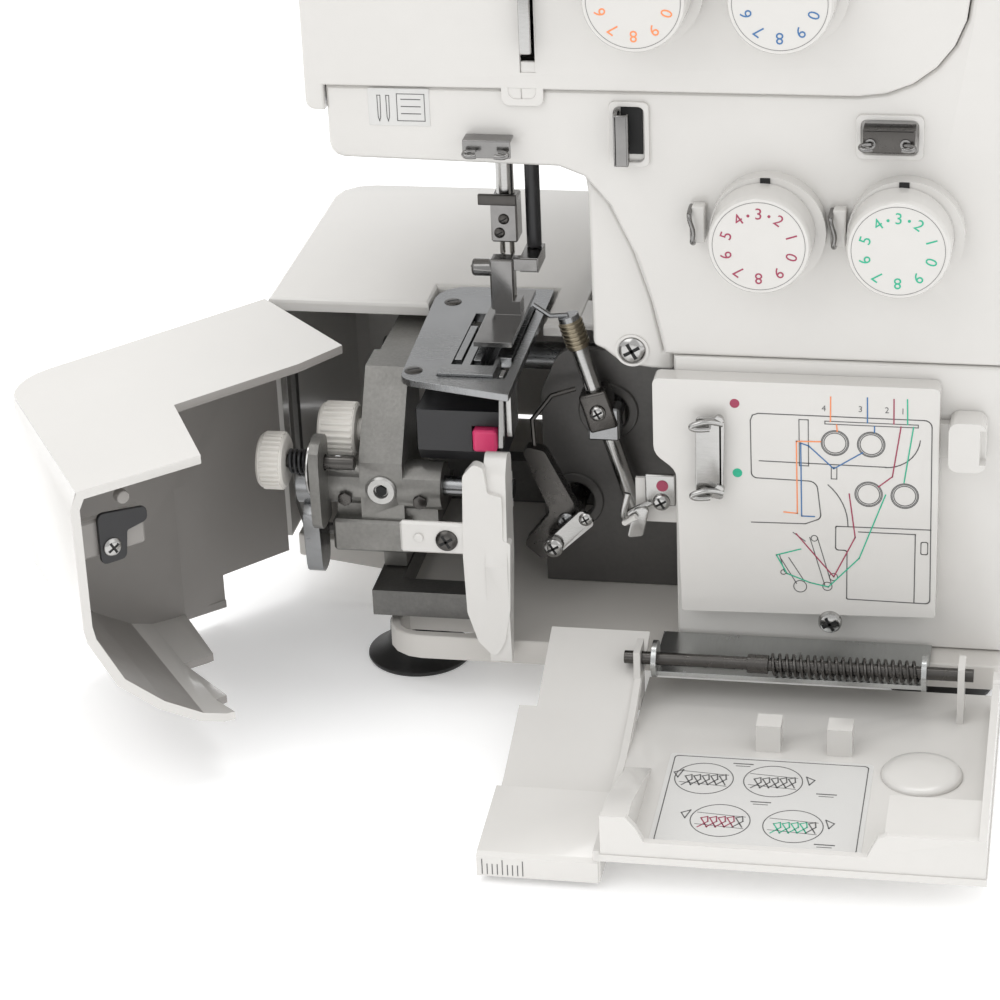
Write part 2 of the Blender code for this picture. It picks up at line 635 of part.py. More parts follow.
def make_plate():
    low = DECK_TOP - PLATE_THICK
    hole_left = -130.5 * MM
    outline = rounded([
        (PLATE_LEFT, PLATE_FRONT + PLATE_SLANT, 6 * MM),
        (PLATE_RIGHT, PLATE_FRONT - PLATE_SLANT, 0.8 * MM),
        (PLATE_RIGHT, PLATE_BACK, 1 * MM),
        (PLATE_LEFT - 2.5 * MM, PLATE_BACK, 11 * MM),
    ], 4)
    opening = [(hole_left, 4 * MM), (-107.5 * MM, 4 * MM), (-107.5 * MM, 64 * MM),
               (hole_left, 64 * MM)]
    slab("needle_plate", outline, low, DECK_TOP, "XY", "satin_steel", [opening])
    finger = mm((-130.2, 4.3), (-111.5, 4.3), (-111.5, 18.5), (-107.8, 18.5), (-107.8, 63.7),
                (-130.2, 63.7))
    slots = [mm((-127, 12), (-123.5, 12), (-123.5, 56), (-127, 56)),
             mm((-120.5, 12), (-113, 12), (-113, 62), (-120.5, 62))]
    slab("stitch_finger_plate", finger, low, DECK_TOP + 1 * MM, "XY", "chrome", slots)
    dog = box("feed_dog", mm((-126.5, 15, 108))[0], mm((-113.6, 48, 113))[0], "satin_steel")
    left = box("feed_dog_left", mm((-126.5, 15, 111))[0], mm((-124, 44, 119.4))[0], "satin_steel")
    right = box("feed_dog_right", mm((-120, 15, 111))[0], mm((-117.5, 48, 119.4))[0],
                "satin_steel")
    join(dog, left, right)


# ---------------------------------------------------------------- needle and presser

def make_needle_parts():
    bar = rod("needle_bar", (NEEDLE_X, NEEDLE_Y, CLAMP_BOTTOM + 4 * MM),
              (NEEDLE_X, NEEDLE_Y, 262 * MM), NEEDLE_BAR_R, "chrome", sides=16)
    set_pivot(bar, (NEEDLE_X, NEEDLE_Y, CLAMP_BOTTOM))
    half = 4.6 * MM
    clamp = box("needle_clamp", (NEEDLE_X - half, NEEDLE_Y - half, CLAMP_BOTTOM),
                (NEEDLE_X + half, NEEDLE_Y + half, CLAMP_BOTTOM + CLAMP_HEIGHT), "satin_steel",
                0.6 * MM)
    bore = rod("clamp_bore", (NEEDLE_X, NEEDLE_Y, CLAMP_BOTTOM + 3.6 * MM),
               (NEEDLE_X, NEEDLE_Y, CLAMP_BOTTOM + 30 * MM), NEEDLE_BAR_R + 0.1 * MM, "chrome")
    seats = []
    for side, name in ((-1, "needle_left"), (1, "needle_right")):
        x = NEEDLE_X + side * 1.5 * MM
        y = NEEDLE_Y + side * 0.8 * MM
        seats.append(rod(f"{name}_seat", (x, y, CLAMP_BOTTOM - 1 * MM),
                         (x, y, CLAMP_BOTTOM + 3.2 * MM), 1.25 * MM, "chrome", sides=12))
        needle = turned(name, [(0, 2.8 * MM), (0.95 * MM, 2.8 * MM), (0.95 * MM, -5 * MM),
                               (0.45 * MM, -7.5 * MM), (0.4 * MM, -20 * MM), (0, -23 * MM)],
                        (x, y, CLAMP_BOTTOM), (0, 0, 1), "chrome", 10)
        needle.name = name
    cut(clamp, bore, *seats)


def make_presser_parts():
    x = NEEDLE_X + PRESSER_OFFSET
    rod("presser_bar", (x, NEEDLE_Y, 143.5 * MM), (x, NEEDLE_Y, 262 * MM), PRESSER_BAR_R,
        "dark_steel", sides=16)
    front = NEEDLE_Y - 13 * MM
    shank = box("presser_foot", (x - 13.4 * MM, front, 124.5 * MM), (x - 5.2 * MM, front + 6 * MM,
                143 * MM), "chrome", 0.6 * MM)
    bridge = box("foot_bridge", (x - 8 * MM, front + 1.5 * MM, 138.6 * MM),
                 (x + 2.8 * MM, front + 5.4 * MM, 142.8 * MM), "chrome")
    arm = box("foot_arm", (x - 3.2 * MM, front + 2 * MM, 138 * MM),
              (x + 3.2 * MM, NEEDLE_Y + 3 * MM, 143.2 * MM), "chrome")
    sole = box("foot_sole", (x - 15 * MM, front - 24 * MM, 121.2 * MM),
               (x - 2 * MM, NEEDLE_Y + 10 * MM, 123 * MM), "chrome")
    web = box("foot_web", (x - 12 * MM, front, 122 * MM), (x - 3 * MM, front + 6 * MM, 128 * MM),
              "chrome")
    screw = rod("foot_screw", (x - 19 * MM, front + 3 * MM, 139 * MM),
                (x - 11 * MM, front + 3 * MM, 139 * MM), 3 * MM, "dark_steel", sides=16)
    join(shank, bridge, arm, sole, web, screw)
    slot = box("foot_needle_slot", (NEEDLE_X - 3.5 * MM, NEEDLE_Y - 3 * MM, 119 * MM),
               (NEEDLE_X + 3.5 * MM, NEEDLE_Y + 3 * MM, 125 * MM), "chrome")
    cut(shank, slot)
    lifter = box("presser_lifter", (x - 1.5 * MM, NEEDLE_Y + 24 * MM, 200 * MM),
                 (x + 1.5 * MM, HEAD_BACK + 24 * MM, 206 * MM), "black_plastic", 1 * MM)
    pad = box("lifter_pad", (x - 5 * MM, HEAD_BACK + 6 * MM, 197 * MM),
              (x + 5 * MM, HEAD_BACK + 26 * MM, 206 * MM), "black_plastic", 1.5 * MM)
    join(lifter, pad)
    set_pivot(lifter, (x, NEEDLE_Y + 30 * MM, 203 * MM))
    lever = rod("take_up_lever", (-96.2 * MM, 62 * MM, 236 * MM), (-96.2 * MM, 2 * MM, 250 * MM),
                1.5 * MM, "chrome", sides=12)
    hub = rod("take_up_hub", (-98 * MM, 62 * MM, 236 * MM), (-93.4 * MM, 62 * MM, 236 * MM),
              4 * MM, "chrome", sides=16)
    join(lever, hub)
    set_pivot(lever, (-96.2 * MM, 62 * MM, 236 * MM))


# ---------------------------------------------------------------- loopers

def make_loopers():
    pivot = UPPER_PIVOT
    head = pivot + Vector((-11.7, 0, 38.4)) * MM
    foot = pivot + Vector((11.3, 0, -37.3)) * MM
    upper = rod("upper_looper", foot, head, 2.2 * MM, "satin_steel", sides=12)
    collar = rod("upper_looper_head", head - (head - foot).normalized() * 6 * MM, head, 3.6 * MM,
                 "satin_steel", sides=16)
    block = box("upper_looper_block", pivot - Vector((5.5, 4, 6)) * MM,
                pivot + Vector((5.5, 4, 6)) * MM, "satin_steel", 0.8 * MM)
    axle = rod("upper_looper_axle", pivot, pivot + Vector((0, 24, 0)) * MM, 5 * MM, "dark_steel",
               sides=16)
    hook = wire("upper_looper_hook", [head, head + Vector((-6, 0, -0.5)) * MM,
                                      head + Vector((-12, 2, 2.5)) * MM], 0.9 * MM, "chrome")
    join(upper, collar, block, axle, to_mesh(hook))
    set_pivot(upper, pivot)
    pivot = LOWER_PIVOT
    arm = slab("lower_looper", rounded(mm((-108, 45.5, 2), (-101, 39.5, 2), (-87.5, 53, 3),
                                          (-90, 62, 3), (-99.5, 81, 2), (-108, 83, 2),
                                          (-103, 70, 3), (-98, 58, 3))),
               27 * MM, 32 * MM, "XZ", "dark_steel")
    axle = rod("lower_looper_axle", pivot - Vector((0, 1, 0)) * MM,
               pivot + Vector((0, 30, 0)) * MM, 4.5 * MM, "dark_steel", sides=16)
    blade = wire("lower_looper_blade", mm((-103, 29.5, 76), (-104, 31, 91), (-98, 36, 98),
                                          (-90, 38, 100)), 0.9 * MM, "chrome")
    join(arm, axle, to_mesh(blade))
    set_pivot(arm, pivot)
    threader = slab("looper_threader", rounded(mm((-100.4, 48.6, 2), (-96, 44, 2), (-81.6, 57.6, 1.5),
                                                  (-86, 62.8, 1.5))),
                    20.5 * MM, 22.5 * MM, "XZ", "chrome")
    screw = rod("threader_screw", mm((-96, 18.8, 48.6))[0], mm((-96, 26.5, 48.6))[0], 3 * MM,
                "chrome", sides=16)
    join(threader, screw)
    set_pivot(threader, mm((-96, 22.5, 48.6))[0])


# ---------------------------------------------------------------- knives and adjusters

def make_knives():
    shaft = rod("knife_shaft", (-181 * MM, KNIFE_SHAFT_Y, KNIFE_SHAFT_Z),
                (-108 * MM, KNIFE_SHAFT_Y, KNIFE_SHAFT_Z), KNIFE_SHAFT_R, "satin_steel", sides=16)
    set_pivot(shaft, (-150 * MM, KNIFE_SHAFT_Y, KNIFE_SHAFT_Z))
    outline = rounded(mm((-8, 17, 1), (-4, 20, 2), (-3, 30, 2), (3, 55, 6), (4, 92, 4), (-3, 94, 3),
                         (-7, 88, 4), (-10, 55, 8), (-9, 30, 6)))
    guard = slab("upper_knife_guard", outline, -114 * MM, -106.5 * MM, "YZ", "white_shell")
    plate = box("guard_plate", mm((-143, -9, 58.5))[0], mm((-112, -6.5, 70))[0], "white_shell",
                0.8 * MM)
    face = slab("guard_face", rounded(mm((-121.6, 58, 3), (-121, 37, 5), (-117.6, 26, 4),
                                         (-112, 19.8, 2), (-108.2, 27, 5), (-106.2, 38.8, 5),
                                         (-105.3, 63.7, 1), (-107.8, 64.7, 1), (-107.6, 80.8, 1),
                                         (-112.4, 82, 1), (-113.5, 91.2, 2), (-116.8, 92.6, 2),
                                         (-120.6, 88, 3))), -9.4 * MM, -5.4 * MM, "XZ",
                "white_shell")
    hub = box("guard_hub", mm((-113.5, 0, 66))[0], mm((-108.5, 15, 79))[0], "white_shell")
    join(guard, plate, face, hub)
    bore = rod("guard_bore", (-120 * MM, KNIFE_SHAFT_Y, KNIFE_SHAFT_Z),
               (-100 * MM, KNIFE_SHAFT_Y, KNIFE_SHAFT_Z), KNIFE_SHAFT_R + RUNNING, "cast")
    cut(guard, bore)
    set_pivot(guard, (-110 * MM, KNIFE_SHAFT_Y, KNIFE_SHAFT_Z))
    upper = slab("upper_knife", mm((0, 94.4), (4, 94.4), (11, 118), (5.5, 118)), -109.8 * MM,
                 -108.3 * MM, "YZ", "chrome")
    set_pivot(upper, (-110 * MM, KNIFE_SHAFT_Y, KNIFE_SHAFT_Z))
    box("lower_knife", mm((-107.9, 6, 96))[0], mm((-106.2, 18, 115.2))[0], "chrome")
    lever = slab("knife_drive_lever", rounded(mm((7, 66, 7), (23, 66, 7), (21, 39, 5),
                                                 (10, 37.5, 5))),
                 -181 * MM, -175.3 * MM, "YZ", "dark_steel")
    crank = rod("drive_lever_hub", (-182.5 * MM, KNIFE_SHAFT_Y, KNIFE_SHAFT_Z),
                (-175 * MM, KNIFE_SHAFT_Y, KNIFE_SHAFT_Z), 8 * MM, "dark_steel")
    join(shaft, lever, crank)


def knob(name, start, end, radius, centre_y, centre_z):
    body = rod(name, (start, centre_y, centre_z), (end, centre_y, centre_z), radius,
               "ivory_knob", sides=32)
    set_pivot(body, (start, centre_y, centre_z))
    return body


def make_adjusters():
    y = 6 * MM
    z = 83.5 * MM
    left = knob("stitch_length_knob", -193.2 * MM, -184 * MM, 10 * MM, y, z)
    stem = rod("length_knob_stem", (-186 * MM, y, z), (-160.6 * MM, y, z), 2.4 * MM,
               "dark_steel", sides=12)
    join(left, stem)
    turns = 5
    per_turn = 8
    length = 7.6 * MM
    coil = []
    for step in range(turns * per_turn + 1):
        angle = 2 * math.pi * step / per_turn
        coil.append((-183 * MM + length * step / (turns * per_turn),
                     y + 3.9 * MM * math.cos(angle), z + 3.9 * MM * math.sin(angle)))
    wire("knob_spring", coil, 0.6 * MM, "black_plastic")
    plate = slab("block_end_plate", rounded([(y - 10 * MM, z - 22 * MM, 5 * MM),
                                            (y + 4.4 * MM, z - 22 * MM, 2 * MM),
                                            (y + 4.4 * MM, z + 10.5 * MM, 5 * MM),
                                            (y - 10 * MM, z + 10.5 * MM, 7 * MM)]),
                 -174.4 * MM, -171 * MM, "YZ", "cast", [ring_of((y, z), 2.9 * MM, 16)])
    join(bpy.data.objects["bearing_block"], plate)
    right = knob("cutting_width_knob", -176 * MM, -163 * MM, 9.5 * MM, 24 * MM, 88 * MM)
    stem = rod("width_knob_stem", (-165 * MM, 24 * MM, 88 * MM), (-160.4 * MM, 24 * MM, 88 * MM),
               4 * MM, "ivory_knob", sides=16)
    join(right, stem)
    body = slab("knife_release_body", mm((16, 82), (34, 83), (38, 102), (12, 102), (12, 87)),
                -140 * MM, -111 * MM, "YZ", "black_plastic")
    socket = box("release_socket", mm((-121, 10, 87.5))[0], mm((-112, 24, 96.5))[0],
                 "black_plastic")
    cut(body, socket)
    button = box("release_button", mm((-120.6, 9.4, 87.9))[0], mm((-112.4, 20, 96.1))[0], "pink",
                 0.8 * MM)
    set_pivot(button, mm((-116.5, 14, 92))[0])


# ---------------------------------------------------------------- drive

def make_drive():
    start = -168 * MM
    end = BODY_RIGHT + WHEEL_WIDTH + 2 * MM
    shaft = rod("main_shaft", (start, SHAFT_Y, SHAFT_Z), (end, SHAFT_Y, SHAFT_Z), SHAFT_R,
                "satin_steel", sides=16)
    set_pivot(shaft, (0, SHAFT_Y, SHAFT_Z))
    face = BODY_RIGHT + 1 * MM
    profile = [(SHAFT_R + 0.2 * MM, WHEEL_WIDTH), (WHEEL_R - 3 * MM, WHEEL_WIDTH),
               (WHEEL_R, WHEEL_WIDTH - 3 * MM), (WHEEL_R, 3 * MM), (WHEEL_R - 3 * MM, 0),
               (SHAFT_R + 0.2 * MM, 0), (SHAFT_R + 0.2 * MM, WHEEL_WIDTH)]
    turned("handwheel", profile, (face, SHAFT_Y, SHAFT_Z), (1, 0, 0), "white_shell", 32)
    pulley_x = 36 * MM
    pulley = [(0, 8 * MM), (22 * MM, 8 * MM), (22 * MM, 6.5 * MM), (20 * MM, 6 * MM),
              (20 * MM, 2 * MM), (22 * MM, 1.5 * MM), (22 * MM, 0), (0, 0)]
    wheel = turned("shaft_pulley", pulley, (pulley_x, SHAFT_Y, SHAFT_Z), (1, 0, 0),
                   "satin_steel", 24)
    join(shaft, to_mesh(wheel))
    motor_y = 146 * MM
    motor_z = 62 * MM
    motor = rod("motor", (-46 * MM, motor_y, motor_z), (30 * MM, motor_y, motor_z), 23 * MM,
                "dark_steel", sides=24)
    foot = box("motor_foot", (-40 * MM, motor_y - 16 * MM, BASE_TOP + GAP),
               (24 * MM, motor_y + 16 * MM, motor_z - 15 * MM), "dark_steel")
    recess = rod("motor_shaft_bore", (25 * MM, motor_y, motor_z), (31 * MM, motor_y, motor_z),
                 3 * MM, "dark_steel")
    join(motor, foot)
    cut(motor, recess)
    drive = rod("motor_pulley", (26 * MM, motor_y, motor_z), (46 * MM, motor_y, motor_z),
                2.6 * MM, "black_plastic", sides=12)
    hub = rod("motor_pulley_hub", (36 * MM, motor_y, motor_z), (44 * MM, motor_y, motor_z),
              6 * MM, "black_plastic", sides=16)
    join(drive, hub)
    set_pivot(drive, (pulley_x, motor_y, motor_z))
    near = math.atan2(motor_z - SHAFT_Z, motor_y - SHAFT_Y)
    lean = math.acos((20 - 6) * MM / math.hypot(motor_y - SHAFT_Y, motor_z - SHAFT_Z))

    def loop(grow):
        big = arc((SHAFT_Y, SHAFT_Z), 20.3 * MM + grow, math.degrees(near + lean),
                  math.degrees(near + 2 * math.pi - lean), 14)
        small = arc((motor_y, motor_z), 6.3 * MM + grow, math.degrees(near - lean),
                    math.degrees(near + lean), 6)
        return big + small

    slab("drive_belt", loop(1.5 * MM), pulley_x + 2.6 * MM, pulley_x + 5.4 * MM, "YZ", "rubber",
         [loop(0)])


# ---------------------------------------------------------------- guides and dials

def make_dials():
    for name, (x, z) in DIAL_POSTS.items():
        raised = TRIM_PROUD if z * MM > TRIM_Z else 0
        base = COLUMN_FRONT - RING_THICK - GAP - raised * 0
        profile = [(0, DIAL_THICK), (DIAL_R - 1 * MM, DIAL_THICK), (DIAL_R, DIAL_THICK - 1 * MM),
                   (DIAL_R, 0), (0, 0)]
        turned(name, profile, (x * MM, base, z * MM), (0, -1, 0), "white_shell", 32)


def make_guides():
    front = COLUMN_FRONT - GAP
    guide = box("needle_thread_guide", (-117.5 * MM, 1 * MM, 195.5 * MM),
                (-102 * MM, 2.2 * MM, 200.5 * MM), "chrome")
    tab = box("needle_guide_tab", (-116 * MM, 1 * MM, 200 * MM), (-103.5 * MM, front, 201.2 * MM),
              "chrome")
    join(guide, tab)
    channel = box("thread_channel", (-69 * MM, 0.5 * MM, 194 * MM), (-67.8 * MM, front, 211 * MM),
                  "chrome")
    face = box("channel_face", (-69 * MM, 0.5 * MM, 194 * MM), (-64.8 * MM, 1.7 * MM, 211 * MM),
               "chrome")
    join(channel, face)
    clip = box("looper_thread_clip", (7.5 * MM, 1.5 * MM, 198 * MM), (24 * MM, 2.7 * MM,
               204.5 * MM), "chrome")
    top = box("clip_top", (7.5 * MM, 1.5 * MM, 203.3 * MM), (24 * MM, front, 204.5 * MM),
              "chrome")
    join(clip, top)
    plate = box("looper_thread_guide", (-42 * MM, -4 * MM, 84 * MM), (-34 * MM, -2.8 * MM,
                111 * MM), "chrome")
    for index, z in enumerate((84 * MM, 109.8 * MM)):
        lip = box(f"looper_guide_lip_{index}", (-42 * MM, -4 * MM, z), (-34 * MM, -GAP,
                  z + 1.2 * MM), "chrome")
        join(plate, lip)
    bracket = box("looper_eye_bracket", mm((-66, 12, 64))[0], (BAY_RIGHT + 1 * MM, 13.5 * MM,
                  80 * MM), "chrome")
    eye = wire("looper_eye", mm((-65, 12.7, 66), (-69, 10, 64), (-69, 6, 66), (-65, 5, 69)),
               1.1 * MM, "chrome")
    join(bpy.data.objects["lower_casing"], bracket, to_mesh(eye))


# ---------------------------------------------------------------- front cover

def make_hinge():
    ear_left = -56.5 * MM
    ear_right = 32.2 * MM
    thick = 1.7 * MM
    bracket = box("hinge_bracket", (ear_left, HINGE_Y - 1 * MM, BASE_TOP + GAP),
                  (ear_right + thick, COLUMN_FRONT - 1 * MM, BASE_TOP + GAP + thick), "zinc")
    for index, x in enumerate((ear_left, ear_right)):
        disc = ring_of((HINGE_Y, HINGE_Z), 6.2 * MM, 20)
        ear = slab(f"hinge_ear_{index}", disc, x, x + thick, "YZ", "zinc")
        join(bracket, ear)
    bore = rod("bracket_bore", (-80 * MM, HINGE_Y, HINGE_Z), (80 * MM, HINGE_Y, HINGE_Z),
               HINGE_SHAFT_R + RUNNING, "zinc")
    cut(bracket, bore)
    shaft = rod("cover_hinge_shaft", (-66 * MM, HINGE_Y, HINGE_Z), (49 * MM, HINGE_Y, HINGE_Z),
                HINGE_SHAFT_R, "dark_steel", sides=16)
    collar = rod("hinge_shaft_collar", (-25 * MM, HINGE_Y, HINGE_Z), (-18 * MM, HINGE_Y, HINGE_Z),
                 HINGE_SHAFT_R + 1 * MM, "dark_steel", sides=16)
    join(shaft, collar)
    set_pivot(shaft, (0, HINGE_Y, HINGE_Z))
    turns = 19
    per_turn = 7
    first = -17 * MM
    last = ear_right - 1 * MM
    coil = []
    for step in range(turns * per_turn + 1):
        angle = 2 * math.pi * step / per_turn
        coil.append((first + (last - first) * step / (turns * per_turn),
                     HINGE_Y + COVER_SPRING_R * math.cos(angle),
                     HINGE_Z + COVER_SPRING_R * math.sin(angle)))
    wire("cover_spring", coil, SPRING_WIRE_R, "dark_steel")


def make_front_cover():
    wall = 2.4 * MM
    skin = HINGE_Z - COVER_SKIN
    near = HINGE_Y + COVER_TAIL
    far = HINGE_Y - COVER_REACH
    rim = skin + COVER_RIM
    lip = rim - COVER_DIP
    right = BODY_RIGHT
    outline = [(COVER_LEFT, far), (right, far), (right, near), (COVER_LEFT, near)]
    cover = slab("front_cover", outline, skin, skin + wall, "XY", "white_shell")
    inset = 0.4 * MM
    right_wall = box("cover_right_wall", (right - wall - inset, far + inset, skin + inset),
                     (right - inset, near - 8 * MM, rim), "white_shell")
    left = COVER_LEFT + inset
    far_profile = [(left, skin + 2 * inset), (left, rim), (left + 8 * MM, rim),
                   (left + 11 * MM, rim - 3.5 * MM), (left + 13.5 * MM, lip), (22 * MM, lip),
                   (25 * MM, rim - 2 * MM), (28 * MM, rim - inset),
                   (right - 2 * inset, rim - inset), (right - 2 * inset, skin + 2 * inset)]
    far_wall = slab("cover_far_wall", far_profile, far + inset, far + wall + inset, "XZ",
                    "white_shell")
    corner = box("cover_corner_block", (27 * MM, far + 3 * inset, skin + 3 * inset),
                 (right - 3 * inset, far + 25 * MM, rim - 3 * inset), "white_shell")
    ramp = slab("cover_left_ramp", [(far + 2 * inset, skin + inset), (far + 2 * inset, rim - inset),
                                    (far + 10 * MM, rim - inset), (far + 30 * MM, rim - 6 * MM),
                                    (far + 52 * MM, skin + wall + inset),
                                    (far + 52 * MM, skin + inset)],
                COVER_LEFT + 2 * inset, COVER_LEFT + 9 * MM, "YZ", "white_shell")
    wing_left = COVER_LEFT - COVER_WING
    low = skin - COVER_STEP
    valley = far + 36 * MM
    profile = [(valley, low + 2 * MM), (far + 50 * MM, low + 5 * MM),
               (far + 79 * MM, low + 14 * MM), (near - 8 * MM, low + 24 * MM),
               (near, HINGE_Z - 1 * MM)]
    inner = [(u, v + wall * 1.15) for u, v in reversed(profile)]
    wing = slab("cover_wing", profile + inner, wing_left, COVER_LEFT + inset, "YZ",
                "white_shell")
    notch = box("cover_wing_notch", (wing_left - 5 * MM, HINGE_Y - 17 * MM, low),
                (wing_left + 6 * MM, near + 5 * MM, HINGE_Z + 5 * MM), "white_shell")
    crown = low + 12.7 * MM
    step = [(valley + 1.4 * MM, low + 3 * MM), (valley + 1.4 * MM, crown - 1.2 * MM),
            (valley, crown), (far + 2 * MM, crown - 3 * MM), (far + inset, crown - 4 * MM),
            (far + inset, low + 1.6 * MM)]
    hollow = [(far + wall + inset, low + 1.6 * MM), (far + wall + inset, crown - 5.6 * MM),
              (valley - 1.2 * MM, crown - wall), (valley - 1.2 * MM, low + 3 * MM)]
    block = slab("cover_wing_block", step + hollow, wing_left + inset, COVER_LEFT - inset, "YZ",
                 "white_shell")
    end = slab("cover_block_end", [(u, v) for u, v in step], wing_left + 2 * inset,
               wing_left + wall, "YZ", "white_shell")
    step_wall = slab("cover_step_wall", [(far + 2 * inset, low + 2 * MM),
                                         (valley, low + 2.4 * MM),
                                         (far + 50 * MM, low + 5.4 * MM),
                                         (far + 79 * MM, low + 14.4 * MM),
                                         (near - 9 * MM, low + 24.4 * MM),
                                         (near - 9 * MM, low + 27 * MM),
                                         (far + 79 * MM, skin + 8 * MM),
                                         (far + 57 * MM, skin + wall + inset),
                                         (far + 3 * inset, skin + wall + inset)],
                     COVER_LEFT - 2 * MM, COVER_LEFT + inset / 2, "YZ", "white_shell")
    join(cover, right_wall, far_wall, corner, ramp, wing, block, end, step_wall)
    cut(cover, notch)
    for index, x in enumerate((COVER_LEFT - 2.3 * MM, 44 * MM)):
        lug = box(f"cover_lug_{index}", (x, HINGE_Y - 5 * MM, skin + 2 * inset),
                  (x + 2.2 * MM, HINGE_Y + 5 * MM, HINGE_Z + 4.5 * MM), "white_shell")
        join(cover, lug)
    for index, x in enumerate((-19 * MM, 4 * MM)):
        clip = box(f"cover_clip_{index}", (x, -50 * MM, skin + inset), (x + 8 * MM, -42 * MM,
                   skin + 12 * MM), "white_shell")
        join(cover, clip)
    bore = rod("cover_bore", (-90 * MM, HINGE_Y, HINGE_Z), (80 * MM, HINGE_Y, HINGE_Z),
               HINGE_SHAFT_R + RUNNING, "white_shell")
    cut(cover, bore)
    set_pivot(cover, (0, HINGE_Y, HINGE_Z))


# ---------------------------------------------------------------- side cover

SIDE_BULGE = [(0, 119), (0, 117), (-3, 111), (-4.7, 95), (-4, 79), (-1.4, 65), (7.4, 47),
              (20.8, 34), (35, 24.4), (44, 21), (54, 20)]    # inwards, up: mm, outside
SIDE_FOOT = 15.0 * MM                # how much lower the bulge ends at the cover's left side


def side_bulge(front, drop, wall):
    """The outside (wall 0) or inside outline of the front wall's section, closed at the back."""
    points = [Vector((front + u * MM, v * MM)) for u, v in SIDE_BULGE]
    lowered = []
    for index, spot in enumerate(points):
        before = points[max(index - 1, 0)]
        after = points[min(index + 1, len(points) - 1)]
        run = (after - before).normalized()
        inward = Vector((-run.y, run.x))
        place = spot + inward * wall
        share = min(1.0, index / 7)
        lowered.append((place.x, place.y - drop * share * share))
    last = lowered[-1]
    return lowered + [(30 * MM, last[1]), (30 * MM, 119 * MM)]


def side_body(name, wall, left, right):
    """The cover's body between two ends: its section bulges less low to the right."""
    bm = bmesh.new()
    rows = []
    for x, front, drop in ((left, SIDE_CORNER.y, SIDE_FOOT), (right, -SIDE_DEPTH, 0.0)):
        rows.append([bm.verts.new((x, u, v)) for u, v in side_bulge(front, drop, wall)])
    count = len(rows[0])
    for index in range(count):
        after = (index + 1) % count
        bm.faces.new((rows[0][index], rows[0][after], rows[1][after], rows[1][index]))
    bm.faces.new(rows[0])
    bm.faces.new(rows[1])
    bmesh.ops.triangulate(bm, faces=bm.faces)
    bmesh.ops.recalc_face_normals(bm, faces=bm.faces)
    return from_bmesh(name, bm, "white_shell")


def side_plan(wall, right, radius):
    """The plan of the left side and the rounded corner, past the front and the right end."""
    left = Vector((0.3 * MM + wall, 2 * wall))
    corner = Vector((SIDE_CORNER.x + wall, SIDE_CORNER.y - 5 * MM + wall))
    front = -SIDE_DEPTH - 7 * MM + wall
    return rounded([(left.x, left.y, 0), (corner.x, corner.y, radius), (right, front, 0),
                    (right, left.y, 0)], 6)


SIDE_CORNER = Vector((10 * MM, -101.7 * MM))


